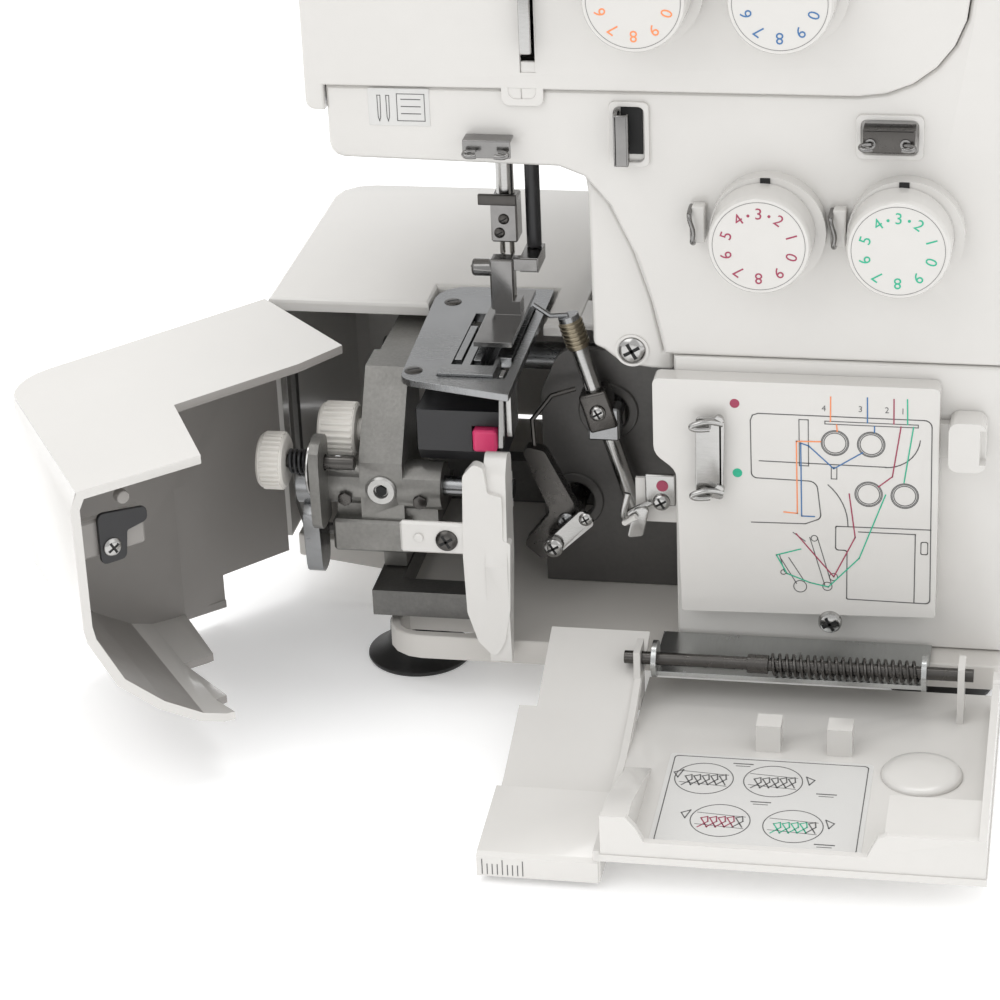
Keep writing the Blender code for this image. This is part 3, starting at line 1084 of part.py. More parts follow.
def make_side_cover():
    hinge = Vector((BODY_LEFT, DECK_FRONT - 0.6 * MM, 0))
    beyond = 20 * MM
    cover = side_body("side_cover", 0.0, -10 * MM, SIDE_REACH)
    limits = slab("side_limits", side_plan(0.0, SIDE_REACH + beyond, 24 * MM), 1 * MM, DECK_TOP,
                  "XY", "white_shell")
    combine(cover, limits, "INTERSECT")
    room = side_body("side_room", SIDE_WALL, -10 * MM, SIDE_REACH + 1 * MM)
    room_plan = [(u, v) for u, v in side_plan(SIDE_WALL, SIDE_REACH + beyond, 24 * MM - SIDE_WALL)]
    room_limits = slab("side_room_limits", room_plan, -5 * MM, DECK_TOP - SIDE_WALL, "XY",
                       "white_shell")
    combine(room, room_limits, "INTERSECT")
    room.modifiers[-1].solver = "MANIFOLD"
    room = to_mesh(room)
    cut(cover, room)
    behind = slab("side_behind", [(-15 * MM, -1.2 * MM), (53.5 * MM, -1.2 * MM), (58 * MM, -21 * MM),
                                  (61.5 * MM, -70 * MM), (SIDE_REACH + 8 * MM, -84 * MM),
                                  (SIDE_REACH + 8 * MM, 40 * MM), (-15 * MM, 40 * MM)],
                  DECK_TOP - 6 * MM, DECK_TOP + 5 * MM, "XY", "white_shell")
    tongue = slab("side_tongue_cut", [(4.2 * MM + SIDE_WALL, -47 * MM), (49 * MM, -57.8 * MM),
                                      (51 * MM, -70.5 * MM), (86 * MM, -72.5 * MM),
                                      (88 * MM, -77.5 * MM), (SIDE_REACH + 8 * MM, -77.5 * MM),
                                      (SIDE_REACH + 8 * MM, 40 * MM), (4.2 * MM + SIDE_WALL,
                                                                       40 * MM)],
                  -5 * MM, 60 * MM, "XY", "white_shell")
    back = box("side_back_cut", (-20 * MM, -1 * MM, -5 * MM), (SIDE_REACH + 20 * MM, 40 * MM,
                                                              DECK_TOP + 10 * MM), "white_shell")
    step = box("side_cover_step", (-8 * MM, -30 * MM, -5 * MM), (8 * MM, 1 * MM, 20 * MM),
               "white_shell")
    cut(cover, behind, tongue, back, step)
    rib = box("side_bracket_rib", (86 * MM, -122 * MM, 88 * MM), (90 * MM, -98 * MM, 101 * MM),
              "white_shell", 0.8 * MM)
    join(cover, rib)
    for modifier in cover.modifiers:
        modifier.solver = "MANIFOLD"
    cover = to_mesh(cover)
    bracket = slab("side_latch_bracket", rounded(mm((-115, 85.5, 2), (-106, 85.5, 2),
                                                    (-105, 95, 1), (-97.6, 96.5, 2),
                                                    (-97.6, 101.5, 2), (-115, 103.5, 2))),
                   90.3 * MM, 91.8 * MM, "YZ", "black_plastic")
    turn = Matrix.Translation(hinge) @ Matrix.Rotation(math.radians(-SIDE_OPEN), 4, "Z")
    for item in (cover, bracket):
        item.matrix_local = turn
    stay = mm((-196, 62, 100), (-196, 62, 60), (-196, 62, 40), (-194, 61, 33), (-189, 60, 31),
              (-152, 60, 31))
    stay_rod = wire("side_cover_stay", stay, 2.2 * MM, "chrome")
    join(bpy.data.objects["machine_frame"], to_mesh(stay_rod))


# ---------------------------------------------------------------- thread stand

def make_thread_stand():
    shelf_z = MACHINE_TOP - 6 * MM
    left = -150 * MM
    right = 40 * MM
    outline = rounded([(left, HEAD_BACK + GAP, 0), (right, HEAD_BACK + GAP, 0),
                       (right, HEAD_BACK + 56 * MM, 20 * MM), (left, HEAD_BACK + 56 * MM,
                                                               20 * MM)])
    stand = slab("spool_stand", outline, shelf_z - 5 * MM, shelf_z, "XY", "white_shell")
    for index in range(4):
        x = left + (right - left) * (index + 0.5) / 4
        pin = rod(f"spool_pin_{index}", (x, HEAD_BACK + 30 * MM, shelf_z - 3 * MM),
                  (x, HEAD_BACK + 30 * MM, shelf_z + 32 * MM), 3 * MM, "white_shell",
                  end_radius=2 * MM, sides=12)
        disc = rod(f"spool_disc_{index}", (x, HEAD_BACK + 30 * MM, shelf_z - 1 * MM),
                   (x, HEAD_BACK + 30 * MM, shelf_z + 2 * MM), 14 * MM, "white_shell", sides=20)
        join(stand, pin, disc)
    middle = (left + right) / 2
    tube = rod("stand_tube", (middle, HEAD_BACK + 8 * MM, shelf_z - 4 * MM),
               (middle, HEAD_BACK + 8 * MM, shelf_z + 40 * MM), 4.5 * MM, "chrome")
    join(stand, tube)
    bore = rod("stand_bore", (middle, HEAD_BACK + 8 * MM, shelf_z - 12 * MM),
               (middle, HEAD_BACK + 8 * MM, shelf_z + 50 * MM), 3 * MM + RUNNING, "chrome")
    cut(stand, bore)
    pole = rod("guide_pole", (middle, HEAD_BACK + 8 * MM, shelf_z - 130 * MM),
               (middle, HEAD_BACK + 8 * MM, shelf_z + 52 * MM), 3 * MM, "chrome", sides=16)
    bar = box("guide_bar", (left + 20 * MM, HEAD_BACK + 4.5 * MM, shelf_z + 48 * MM),
              (right - 20 * MM, HEAD_BACK + 11.5 * MM, shelf_z + 53 * MM), "white_shell", 1 * MM)
    join(pole, bar)


def centre_on_table():
    """Move the machine so that its origin lies on the table, under the middle of its box."""
    bpy.context.view_layer.update()
    graph = bpy.context.evaluated_depsgraph_get()
    spots = []
    for item in PARTS.objects:
        shape = item.evaluated_get(graph)
        mesh = shape.to_mesh()
        spots += [shape.matrix_world @ vertex.co for vertex in mesh.vertices]
        shape.to_mesh_clear()
    low = Vector([min(spot[axis] for spot in spots) for axis in range(3)])
    high = Vector([max(spot[axis] for spot in spots) for axis in range(3)])
    middle = (low + high) / 2
    ROOT.location = (-middle.x, -middle.y, -low.z)
    bpy.context.view_layer.update()


clear_scene()
PARTS = new_collection("serger_overlock_machine")
CUTTERS = new_collection("cutters")
ROOT = bpy.data.objects.new("machine_origin", None)
bpy.context.scene.collection.objects.link(ROOT)
make_materials()
make_base()
make_lower_casing()
make_panel()
make_front_casing()
make_upper_cover()
make_rear_casing()
make_fairing()
make_deck()
make_frame()
make_bay_wall()
make_bearing_block()
make_plate()
make_needle_parts()
make_presser_parts()
make_loopers()
make_knives()
make_adjusters()
make_drive()
make_dials()
make_guides()
make_hinge()
make_front_cover()
make_side_cover()
make_thread_stand()
centre_on_table()
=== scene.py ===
"""Looks of the serger overlock machine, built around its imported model.

Shapes are modelled in millimetres in the machine's own drawing frame: X to the right from the
threading panel's screw, Y to the back from that panel's face and Z up from the table.  finish_piece
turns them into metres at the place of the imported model.
"""
import json
import math

import bmesh
import bpy
from mathutils import Matrix, Vector


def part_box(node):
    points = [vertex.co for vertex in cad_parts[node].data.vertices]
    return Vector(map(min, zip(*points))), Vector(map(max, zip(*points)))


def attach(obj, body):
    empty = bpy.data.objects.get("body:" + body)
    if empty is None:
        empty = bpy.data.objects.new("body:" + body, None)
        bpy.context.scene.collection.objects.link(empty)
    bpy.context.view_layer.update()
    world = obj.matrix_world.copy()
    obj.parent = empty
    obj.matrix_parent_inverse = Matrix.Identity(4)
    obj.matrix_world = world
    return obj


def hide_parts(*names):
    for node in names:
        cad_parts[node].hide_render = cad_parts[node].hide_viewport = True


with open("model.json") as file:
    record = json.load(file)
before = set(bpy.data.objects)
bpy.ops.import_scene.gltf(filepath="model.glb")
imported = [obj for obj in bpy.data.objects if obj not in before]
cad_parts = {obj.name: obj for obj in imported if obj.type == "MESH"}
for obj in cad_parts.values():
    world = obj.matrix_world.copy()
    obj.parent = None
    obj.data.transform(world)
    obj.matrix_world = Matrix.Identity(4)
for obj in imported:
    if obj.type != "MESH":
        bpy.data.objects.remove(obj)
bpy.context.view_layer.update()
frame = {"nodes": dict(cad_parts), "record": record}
NODES = frame["nodes"]
BODIES = frame["record"]["behaviour"]["bodies"]
BODY_OF = {node: body for body, nodes in BODIES.items() for node in nodes}

MM = 0.001
DECK_LEFT = -204.0                 # the deck's left face in the drawing frame
DECK_BACK = 182.0                  # the deck's back face
DECK_LOW, DECK_HIGH = (Vector(corner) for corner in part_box("deck_cover"))
HOME = Vector((DECK_LOW.x - DECK_LEFT * MM, DECK_HIGH.y - DECK_BACK * MM, 0))

CAMERA_AT = Vector((78.4, -918.0, 532.4))
CAMERA_YAW = 11.6
CAMERA_PITCH = 26.0
CAMERA_ROLL = -2.5
CAMERA_LENS = 112.3

SIDE_HINGE = Vector((-204.0, 65.7, 0.0))
SIDE_OPEN = 46.0
HINGE_Y = -20.0
HINGE_Z = 29.3
SHAFT_Y, SHAFT_Z = 88.0, 90.0
UPPER_PIVOT = Vector((-79.7, 36.0, 89.5))
LOWER_PIVOT = Vector((-92.5, 30.0, 55.0))
NEEDLE_X, NEEDLE_Y = -115.7, 59.0

ORANGE = (0.85, 0.27, 0.10)
BLUE = (0.05, 0.16, 0.36)
MAROON = (0.33, 0.04, 0.09)
GREEN = (0.02, 0.42, 0.25)
INK = (0.10, 0.10, 0.10)


# ---------------------------------------------------------------- shader words

class Value:
    """A number on a material's socket, which takes part in arithmetic."""

    def __init__(self, paint, socket):
        self.paint = paint
        self.socket = socket

    def maths(self, operation, *others):
        return self.paint.node("ShaderNodeMath", {"operation": operation}, [self, *others])

    def __add__(self, other):
        return self.maths("ADD", other)

    __radd__ = __add__

    def __sub__(self, other):
        return self.maths("SUBTRACT", other)

    def __rsub__(self, other):
        return self.paint.node("ShaderNodeMath", {"operation": "SUBTRACT"}, [other, self])

    def __mul__(self, other):
        return self.maths("MULTIPLY", other)

    __rmul__ = __mul__


class Paint:
    """A procedural material and the nodes that make it."""

    def __init__(self, name):
        self.material = bpy.data.materials.new(name)
        self.material.use_nodes = True
        self.tree = self.material.node_tree
        self.shader = self.tree.nodes["Principled BSDF"]
        self.place = self.node("ShaderNodeTexCoord", output="Object")

    def node(self, kind, settings=None, inputs=(), output=0):
        made = self.tree.nodes.new(kind)
        for name, value in (settings or {}).items():
            setattr(made, name, value)
        pairs = inputs.items() if isinstance(inputs, dict) else enumerate(inputs)
        for key, value in pairs:
            if isinstance(value, Value):
                self.tree.links.new(value.socket, made.inputs[key])
            else:
                made.inputs[key].default_value = value
        return Value(self, made.outputs[output])

    def noise(self, scale, detail=3.0, stretch=(1, 1, 1)):
        place = self.node("ShaderNodeMapping", inputs={"Vector": self.place, "Scale": stretch})
        return self.node("ShaderNodeTexNoise", inputs={"Vector": place, "Scale": scale,
                                                       "Detail": detail})

    def blend(self, share, first, second):
        return self.node("ShaderNodeMix", {"data_type": "RGBA"},
                         {0: share, 6: (*first, 1), 7: (*second, 1)}, output=2)

    def bump(self, height, strength, distance):
        return self.node("ShaderNodeBump", inputs={"Height": height, "Strength": strength,
                                                   "Distance": distance})

    def give(self, **values):
        for name, value in values.items():
            socket = self.shader.inputs[name.replace("_", " ")]
            if isinstance(value, Value):
                self.tree.links.new(value.socket, socket)
            else:
                socket.default_value = value
        return self.material


def tint(colour, factor):
    return tuple(min(1.0, channel * factor) for channel in colour)


def moulded(name, colour, roughness, grain=0.02, grain_scale=900.0, coat=0.0):
    """Moulded plastic: faint flow marks, a little dust and a fine grain."""
    paint = Paint(name)
    flow = paint.noise(14.0, 2.0)
    dust = paint.noise(160.0, 5.0)
    grain_map = paint.noise(grain_scale, 2.0)
    shade = paint.blend(flow * 0.7 + dust * 0.3, tint(colour, 1.03), tint(colour, 0.95))
    return paint.give(Base_Color=shade, Roughness=dust * 0.10 + (roughness - 0.05),
                      Coat_Weight=coat, Coat_Roughness=0.08,
                      Normal=paint.bump(grain_map, grain, 0.0004))


def metal(name, colour, roughness, grain=0.08, scale=500.0, stretch=(1, 1, 1), metallic=1.0):
    """Machined or plated metal: grain along its stretch, smears of oil and small pits."""
    paint = Paint(name)
    lines = paint.noise(scale, 4.0, stretch)
    smear = paint.noise(45.0, 3.0)
    shade = paint.blend(smear * 0.6 + lines * 0.4, tint(colour, 1.15), tint(colour, 0.72))
    return paint.give(Base_Color=shade, Metallic=metallic,
                      Roughness=smear * 0.14 + lines * 0.08 + (roughness - 0.11),
                      Normal=paint.bump(lines, grain, 0.0003))


def cast(name, colour, roughness):
    """Cast and blasted metal with pits and darker hollows."""
    paint = Paint(name)
    pits = paint.noise(900.0, 6.0)
    patches = paint.noise(60.0, 4.0)
    shade = paint.blend(patches * 0.7 + pits * 0.3, tint(colour, 1.3), tint(colour, 0.55))
    return paint.give(Base_Color=shade, Metallic=0.75, Roughness=pits * 0.2 + (roughness - 0.1),
                      Normal=paint.bump(pits, 0.16, 0.0004))


def ink(name, colour):
    """Printing ink, slightly broken where it lies on the moulding's grain."""
    paint = Paint(name)
    break_up = paint.noise(1500.0, 3.0)
    shade = paint.blend(break_up, tint(colour, 0.92), tint(colour, 1.12))
    return paint.give(Base_Color=shade, Roughness=break_up * 0.1 + 0.38,
                      Normal=paint.bump(break_up, 0.03, 0.0001))


SHELL_WHITE = moulded("gloss_white_shell", (0.66, 0.645, 0.62), 0.24, 0.015, coat=0.35)
INNER_WHITE = moulded("satin_inner_white", (0.56, 0.54, 0.51), 0.42, 0.03)
# Painted shade: a darker warm grey on the inside of the opened side cover, standing in for the shade
# that falls there
INSIDE_PAINTED_SHADE = moulded("painted_shade_inside", (0.30, 0.285, 0.27), 0.40, 0.02)
LABEL = moulded("film_label", (0.64, 0.635, 0.62), 0.30, 0.01)
IVORY = moulded("ivory_knob", (0.74, 0.715, 0.67), 0.42, 0.05)
BLACK = moulded("black_moulding", (0.018, 0.018, 0.02), 0.33, 0.05)
# Painted shadow: a near-black material for screw slots, dial index notches, the channel recess and the
# plug socket, standing in for the shade inside them
SHADOW = moulded("painted_shadow_recess", (0.008, 0.008, 0.008), 0.7, 0.05)
RUBBER = moulded("foot_rubber", (0.012, 0.012, 0.012), 0.42, 0.12, 1400.0)
PINK = moulded("pink_button", (0.86, 0.06, 0.20), 0.38, 0.03)
CHARCOAL = metal("bay_wall_paint", (0.10, 0.096, 0.092), 0.42, 0.12, 700.0, metallic=0.4)
CAST_GREY = cast("cast_grey", (0.23, 0.225, 0.212), 0.38)
CAST_LIGHT = cast("machined_cast", (0.46, 0.455, 0.44), 0.32)
PLATE_STEEL = metal("ground_plate", (0.32, 0.325, 0.33), 0.26, 0.05, 260.0, (1, 14, 1))
BRIGHT = metal("polished_steel", (0.46, 0.455, 0.445), 0.19, 0.03, 400.0, (1, 1, 8))
DARK_STEEL = metal("dark_steel", (0.10, 0.095, 0.09), 0.28, 0.08, 400.0)
NEEDLE_STEEL = metal("needle_steel", (0.74, 0.73, 0.70), 0.16, 0.02, 500.0, (1, 1, 12))
DARK_CHROME = metal("dark_chrome", (0.26, 0.255, 0.25), 0.20, 0.04, 300.0)
BRASS = metal("worn_brass", (0.30, 0.26, 0.19), 0.30, 0.10, 600.0)
CAST_DARK = cast("dark_cast_frame", (0.16, 0.157, 0.15), 0.45)
ZINC = metal("bright_zinc", (0.52, 0.53, 0.525), 0.25, 0.06, 220.0, (8, 1, 1))
INKS = {"orange": ink("orange_ink", ORANGE), "blue": ink("blue_ink", BLUE),
        "maroon": ink("maroon_ink", MAROON), "green": ink("green_ink", GREEN),
        "black": ink("black_ink", INK)}

NODE_FINISH = {
    "base_plate": INNER_WHITE, "machine_frame": CAST_DARK, "looper_bay_wall": CHARCOAL,
    "bearing_block": CAST_GREY, "needle_plate": PLATE_STEEL, "stitch_finger_plate": PLATE_STEEL,
    "feed_dog": PLATE_STEEL, "needle_bar": BRIGHT, "needle_clamp": DARK_CHROME,
    "needle_left": NEEDLE_STEEL, "needle_right": NEEDLE_STEEL, "presser_bar": BLACK,
    "presser_foot": DARK_CHROME, "presser_lifter": BLACK, "take_up_lever": BRIGHT,
    "upper_looper": PLATE_STEEL, "lower_looper": DARK_STEEL, "looper_threader": BRIGHT,
    "knife_shaft": PLATE_STEEL, "upper_knife": BRIGHT, "lower_knife": BRIGHT,
    "knife_release_body": BLACK, "release_button": PINK, "main_shaft": PLATE_STEEL,
    "motor": DARK_STEEL, "motor_pulley": BLACK, "drive_belt": RUBBER,
    "needle_thread_guide": DARK_CHROME, "thread_channel": DARK_CHROME, "looper_thread_clip": DARK_STEEL,
    "looper_thread_guide": BRIGHT, "hinge_bracket": ZINC, "cover_hinge_shaft": DARK_STEEL,
    "cover_spring": DARK_STEEL, "knob_spring": BLACK, "side_latch_bracket": BLACK,
    "guide_pole": BRIGHT, "stitch_length_knob": IVORY, "cutting_width_knob": IVORY,
    "foot_front_left": RUBBER, "foot_front_right": RUBBER, "foot_rear_left": RUBBER,
    "foot_rear_right": RUBBER,
}

SOFT_EDGES = {
    "base_plate": 1.2, "lower_casing": 0.8, "rear_body_cover": 1.2, "threading_panel": 1.0,
    "front_casing": 1.4, "upper_front_cover": 1.2, "rear_casing": 1.5, "throat_fairing": 1.8,
    "deck_cover": 1.0, "machine_frame": 0.8, "looper_bay_wall": 0.5, "bearing_block": 0.9,
    "needle_plate": 0.5, "stitch_finger_plate": 0.2, "feed_dog": 0.2, "needle_clamp": 0.4,
    "presser_lifter": 0.4, "take_up_lever": 0.3, "upper_looper": 0.5, "lower_looper": 0.6,
    "looper_threader": 0.3, "knife_shaft": 0.5, "upper_knife": 0.15, "lower_knife": 0.15,
    "knife_release_body": 1.2, "release_button": 0.7, "upper_knife_guard": 1.2,
    "needle_bar": 0.4, "presser_bar": 0.3, "motor": 1.5, "motor_pulley": 0.3,
    "drive_belt": 0.4, "hinge_bracket": 0.35, "cover_hinge_shaft": 0.4,
    "side_latch_bracket": 0.4, "front_cover": 0.8, "spool_stand": 1.2, "guide_pole": 0.4,
    "main_shaft": 0.4, "handwheel": 1.0, "looper_thread_guide": 0.3, "presser_foot": 0.4,
}


# ---------------------------------------------------------------- shapes, in millimetres

def finish_piece(name, bm, material, body, replaces=(), soft=0.0, angle=32.0, weld=True):
    """Turn a shape into a piece at its place, riding on a body."""
    bmesh.ops.scale(bm, vec=(MM, MM, MM), verts=bm.verts)
    bmesh.ops.translate(bm, vec=HOME, verts=bm.verts)
    if weld:
        bmesh.ops.remove_doubles(bm, verts=bm.verts, dist=0.000002)
    mesh = bpy.data.meshes.new(name)
    bm.to_mesh(mesh)
    bm.free()
    piece = bpy.data.objects.new(name, mesh)
    bpy.context.scene.collection.objects.link(piece)
    mesh.materials.append(material)
    mesh.shade_smooth()
    mesh.set_sharp_from_angle(angle=math.radians(angle))
    if soft:
        soften(piece, soft)
    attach(piece, body)
    if replaces:
        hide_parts(*replaces)
    return piece


def soften(piece, width):
    """Round a piece's edges, keeping its flat faces flat."""
    bevel = piece.modifiers.new("rounding", "BEVEL")
    bevel.width = width * MM
    bevel.segments = 3
    bevel.limit_method = "ANGLE"
    bevel.angle_limit = math.radians(28)
    bevel.harden_normals = True
    return piece


def block(low, high, rounding=0.0, segments=3):
    low = Vector(low)
    high = Vector(high)
    bm = bmesh.new()
    bmesh.ops.create_cube(bm, size=1)
    bmesh.ops.scale(bm, vec=high - low, verts=bm.verts)
    bmesh.ops.translate(bm, vec=(low + high) / 2, verts=bm.verts)
    if rounding:
        bevel_all(bm, rounding, segments)
    return bm


def bevel_all(bm, width, segments=3, sharpest=30.0):
    edges = [edge for edge in bm.edges
             if len(edge.link_faces) == 2 and edge.calc_face_angle(0) > math.radians(sharpest)]
    bmesh.ops.bevel(bm, geom=edges, offset=width, segments=segments, affect="EDGES",
                    profile=0.5, material=-1, clamp_overlap=True)
    return bm


def turn_to(axis):
    return Vector(axis).to_track_quat("Z", "Y").to_matrix().to_4x4()


def rod(start, end, radius, end_radius=None, sides=40, rounding=0.0):
    start = Vector(start)
    end = Vector(end)
    axis = end - start
    bm = bmesh.new()
    bmesh.ops.create_cone(bm, cap_ends=True, segments=sides, radius1=radius,
                          radius2=radius if end_radius is None else end_radius,
                          depth=axis.length,
                          matrix=Matrix.Translation((start + end) / 2) @ turn_to(axis))
    if rounding:
        bevel_all(bm, rounding, 3, 40.0)
    return bm


def turned(profile, centre, axis, steps=64):
    """Spin a profile of (radius, height) points about an axis; it starts and ends on it."""
    bm = bmesh.new()
    points = [bm.verts.new((radius, 0, height)) for radius, height in profile]
    edges = [bm.edges.new(pair) for pair in zip(points, points[1:])]
    bmesh.ops.spin(bm, geom=points + edges, cent=(0, 0, 0), axis=(0, 0, 1),
                   angle=math.tau, steps=steps, use_merge=True)
    bmesh.ops.remove_doubles(bm, verts=bm.verts, dist=0.0005)
    bmesh.ops.recalc_face_normals(bm, faces=bm.faces)
    bmesh.ops.transform(bm, verts=bm.verts, matrix=Matrix.Translation(centre) @ turn_to(axis))
    return bm


PLANES = {
    "XY": Matrix.Identity(4),
    "XZ": Matrix(((1, 0, 0, 0), (0, 0, 1, 0), (0, 1, 0, 0), (0, 0, 0, 1))),
    "YZ": Matrix(((0, 0, 1, 0), (1, 0, 0, 0), (0, 1, 0, 0), (0, 0, 0, 1))),
}


def plate(outline, low, high, plane, rounding=0.0, segments=3):
    """An outline in a plane, extruded from one depth to another."""
    bm = bmesh.new()
    face = bm.faces.new([bm.verts.new((u, v, low)) for u, v in outline])
    lifted = bmesh.ops.extrude_face_region(bm, geom=[face])
    moved = [item for item in lifted["geom"] if isinstance(item, bmesh.types.BMVert)]
    bmesh.ops.translate(bm, vec=(0, 0, high - low), verts=moved)
    bmesh.ops.transform(bm, verts=bm.verts, matrix=PLANES[plane])
    bmesh.ops.recalc_face_normals(bm, faces=bm.faces)
    if rounding:
        bevel_all(bm, rounding, segments)
    return bm


def arc(centre, radius, start, end, steps=12):
    angles = [math.radians(start + (end - start) * step / steps) for step in range(steps + 1)]
    return [(centre[0] + radius * math.cos(a), centre[1] + radius * math.sin(a)) for a in angles]


def rounded(points, steps=5):
    """An outline whose corners (u, v, radius) are replaced by arcs."""
    result = []
    for index, (u, v, radius) in enumerate(points):
        corner = Vector((u, v))
        if not radius:
            result.append((u, v))
            continue
        before = (Vector(points[index - 1][:2]) - corner).normalized()
        after = (Vector(points[(index + 1) % len(points)][:2]) - corner).normalized()
        half = before.angle(after) / 2
        reach = radius / math.tan(half)
        centre = corner + (before + after).normalized() * (radius / math.sin(half))
        first = corner + before * reach - centre
        sweep = first.angle_signed(corner + after * reach - centre)
        for step in range(steps + 1):
            spot = centre + Matrix.Rotation(-sweep * step / steps, 2) @ first
            result.append((spot.x, spot.y))
    return result


def tube(points, radius, closed=False, smooth=True, resolution=4):
    """A round wire through points."""
    curve = bpy.data.curves.new("wire", "CURVE")
    curve.dimensions = "3D"
    curve.bevel_depth = radius
    curve.bevel_resolution = resolution
    curve.use_fill_caps = True
    spline = curve.splines.new("NURBS" if smooth else "POLY")
    spline.points.add(len(points) - 1)
    for point, spot in zip(spline.points, points):
        point.co = (*spot, 1)
    spline.use_cyclic_u = closed
    spline.use_endpoint_u = True
    spline.order_u = 3
    spline.resolution_u = 5
    holder = bpy.data.objects.new("wire", curve)
    mesh = bpy.data.meshes.new_from_object(holder)
    bpy.data.objects.remove(holder)
    bm = bmesh.new()
    bm.from_mesh(mesh)
    bmesh.ops.remove_doubles(bm, verts=bm.verts, dist=0.001)
    bmesh.ops.recalc_face_normals(bm, faces=bm.faces)
    return bm


def merged(*shapes):
    """Several shapes in one."""
    result = bmesh.new()
    for shape in shapes:
        mesh = bpy.data.meshes.new("part")
        shape.to_mesh(mesh)
        shape.free()
        result.from_mesh(mesh)
        bpy.data.meshes.remove(mesh)
    return result


def moved(bm, matrix):
    bmesh.ops.transform(bm, verts=bm.verts, matrix=matrix)
    return bm


def from_node(name):
    """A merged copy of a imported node's shape, in millimetres of the drawing frame."""
    bm = bmesh.new()
    bm.from_mesh(NODES[name].data)
    bmesh.ops.remove_doubles(bm, verts=bm.verts, dist=0.000005)
    bmesh.ops.dissolve_limit(bm, angle_limit=math.radians(1.5), verts=bm.verts, edges=bm.edges)
    bmesh.ops.translate(bm, vec=-HOME, verts=bm.verts)
    bmesh.ops.scale(bm, vec=(1000, 1000, 1000), verts=bm.verts)
    return bm


def strip(points, width, depth, plane_y):
    """A thin printed line through points (x, z) on a face at plane_y."""
    result = []
    for first, second in zip(points, points[1:]):
        first = Vector(first)
        second = Vector(second)
        run = (second - first).normalized() * (width / 2)
        side = Vector((-run.y, run.x))
        corners = [first - run + side, first - run - side, second + run - side,
                   second + run + side]
        result.append(plate([tuple(corner) for corner in corners], plane_y - depth, plane_y,
                            "XZ"))
    return result


def ring(centre, radius, width, depth, plane_y, steps=40):
    """A thin printed ring on a face at plane_y."""
    bm = bmesh.new()
    outer = bmesh.ops.create_circle(bm, segments=steps, radius=radius)["verts"]
    inner = bmesh.ops.create_circle(bm, segments=steps, radius=radius - width)["verts"]
    edges = {edge for vert in outer + inner for edge in vert.link_edges}
    faces = bmesh.ops.bridge_loops(bm, edges=list(edges))["faces"]
    lifted = bmesh.ops.extrude_face_region(bm, geom=faces)
    raised = [item for item in lifted["geom"] if isinstance(item, bmesh.types.BMVert)]
    bmesh.ops.translate(bm, vec=(0, 0, depth), verts=raised)
    bmesh.ops.transform(bm, verts=bm.verts,
                        matrix=Matrix.Translation((centre[0], plane_y, centre[1]))
                        @ Matrix.Rotation(math.radians(90), 4, "X"))
    bmesh.ops.recalc_face_normals(bm, faces=bm.faces)
    return bm


def letter(text, size, matrix, depth=0.06):
    """A character as a thin solid, centred, reading along +X with +Y up, before its matrix."""
    curve = bpy.data.curves.new("letter", "FONT")
    curve.body = text
    curve.size = size
    curve.align_x = "CENTER"
    curve.align_y = "CENTER"
    curve.extrude = depth / 2
    curve.resolution_u = 3
    holder = bpy.data.objects.new("letter", curve)
    mesh = bpy.data.meshes.new_from_object(holder)
    bpy.data.objects.remove(holder)
    bm = bmesh.new()
    bm.from_mesh(mesh)
    bmesh.ops.remove_doubles(bm, verts=bm.verts, dist=0.0005)
    bmesh.ops.transform(bm, verts=bm.verts, matrix=matrix)
    return bm


def cross_screw(name, centre, axis, radius, height, body, material=BRIGHT, slotted=False):
    """A domed screw head with a cross or a straight slot."""
    profile = [(0, height), (radius * 0.45, height * 0.97), (radius * 0.8, height * 0.75),
               (radius * 0.97, height * 0.35), (radius, 0.0), (radius * 0.9, -0.3), (0, -0.3)]
    head = turned(profile, (0, 0, 0), (0, 0, 1), 40)
    finish_piece(name, moved(head, Matrix.Translation(centre) @ turn_to(axis)), material, body)
    slots = []
    for index in range(1 if slotted else 2):
        bar = block((-radius * 0.66, -radius * 0.13, height * 0.55),
                    (radius * 0.66, radius * 0.13, height * 1.02), 0.04, 1)
        slots.append(moved(bar, Matrix.Rotation(math.radians(30 + 90 * index), 4, "Z")))
    # The cross or slot is a dark solid on the head: painted shadow in the slot
    cross = moved(merged(*slots), Matrix.Translation(centre) @ turn_to(axis))
    finish_piece(name + "_slot", cross, SHADOW, body)


# ---------------------------------------------------------------- casings

def refine_nodes():
    """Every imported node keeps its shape; the ones in SOFT_EDGES get rounded edges."""
    for name, node in NODES.items():
        finish = NODE_FINISH.get(name, SHELL_WHITE)
        node.data.materials.clear()
        node.data.materials.append(finish)
        if name in SOFT_EDGES and name not in REBUILT:
            finish_piece(name + "_shape", from_node(name), finish, BODY_OF[name], [name],
                         SOFT_EDGES[name])


REBUILT = {"side_cover", "handwheel", "side_latch_bracket", "looper_thread_guide"}


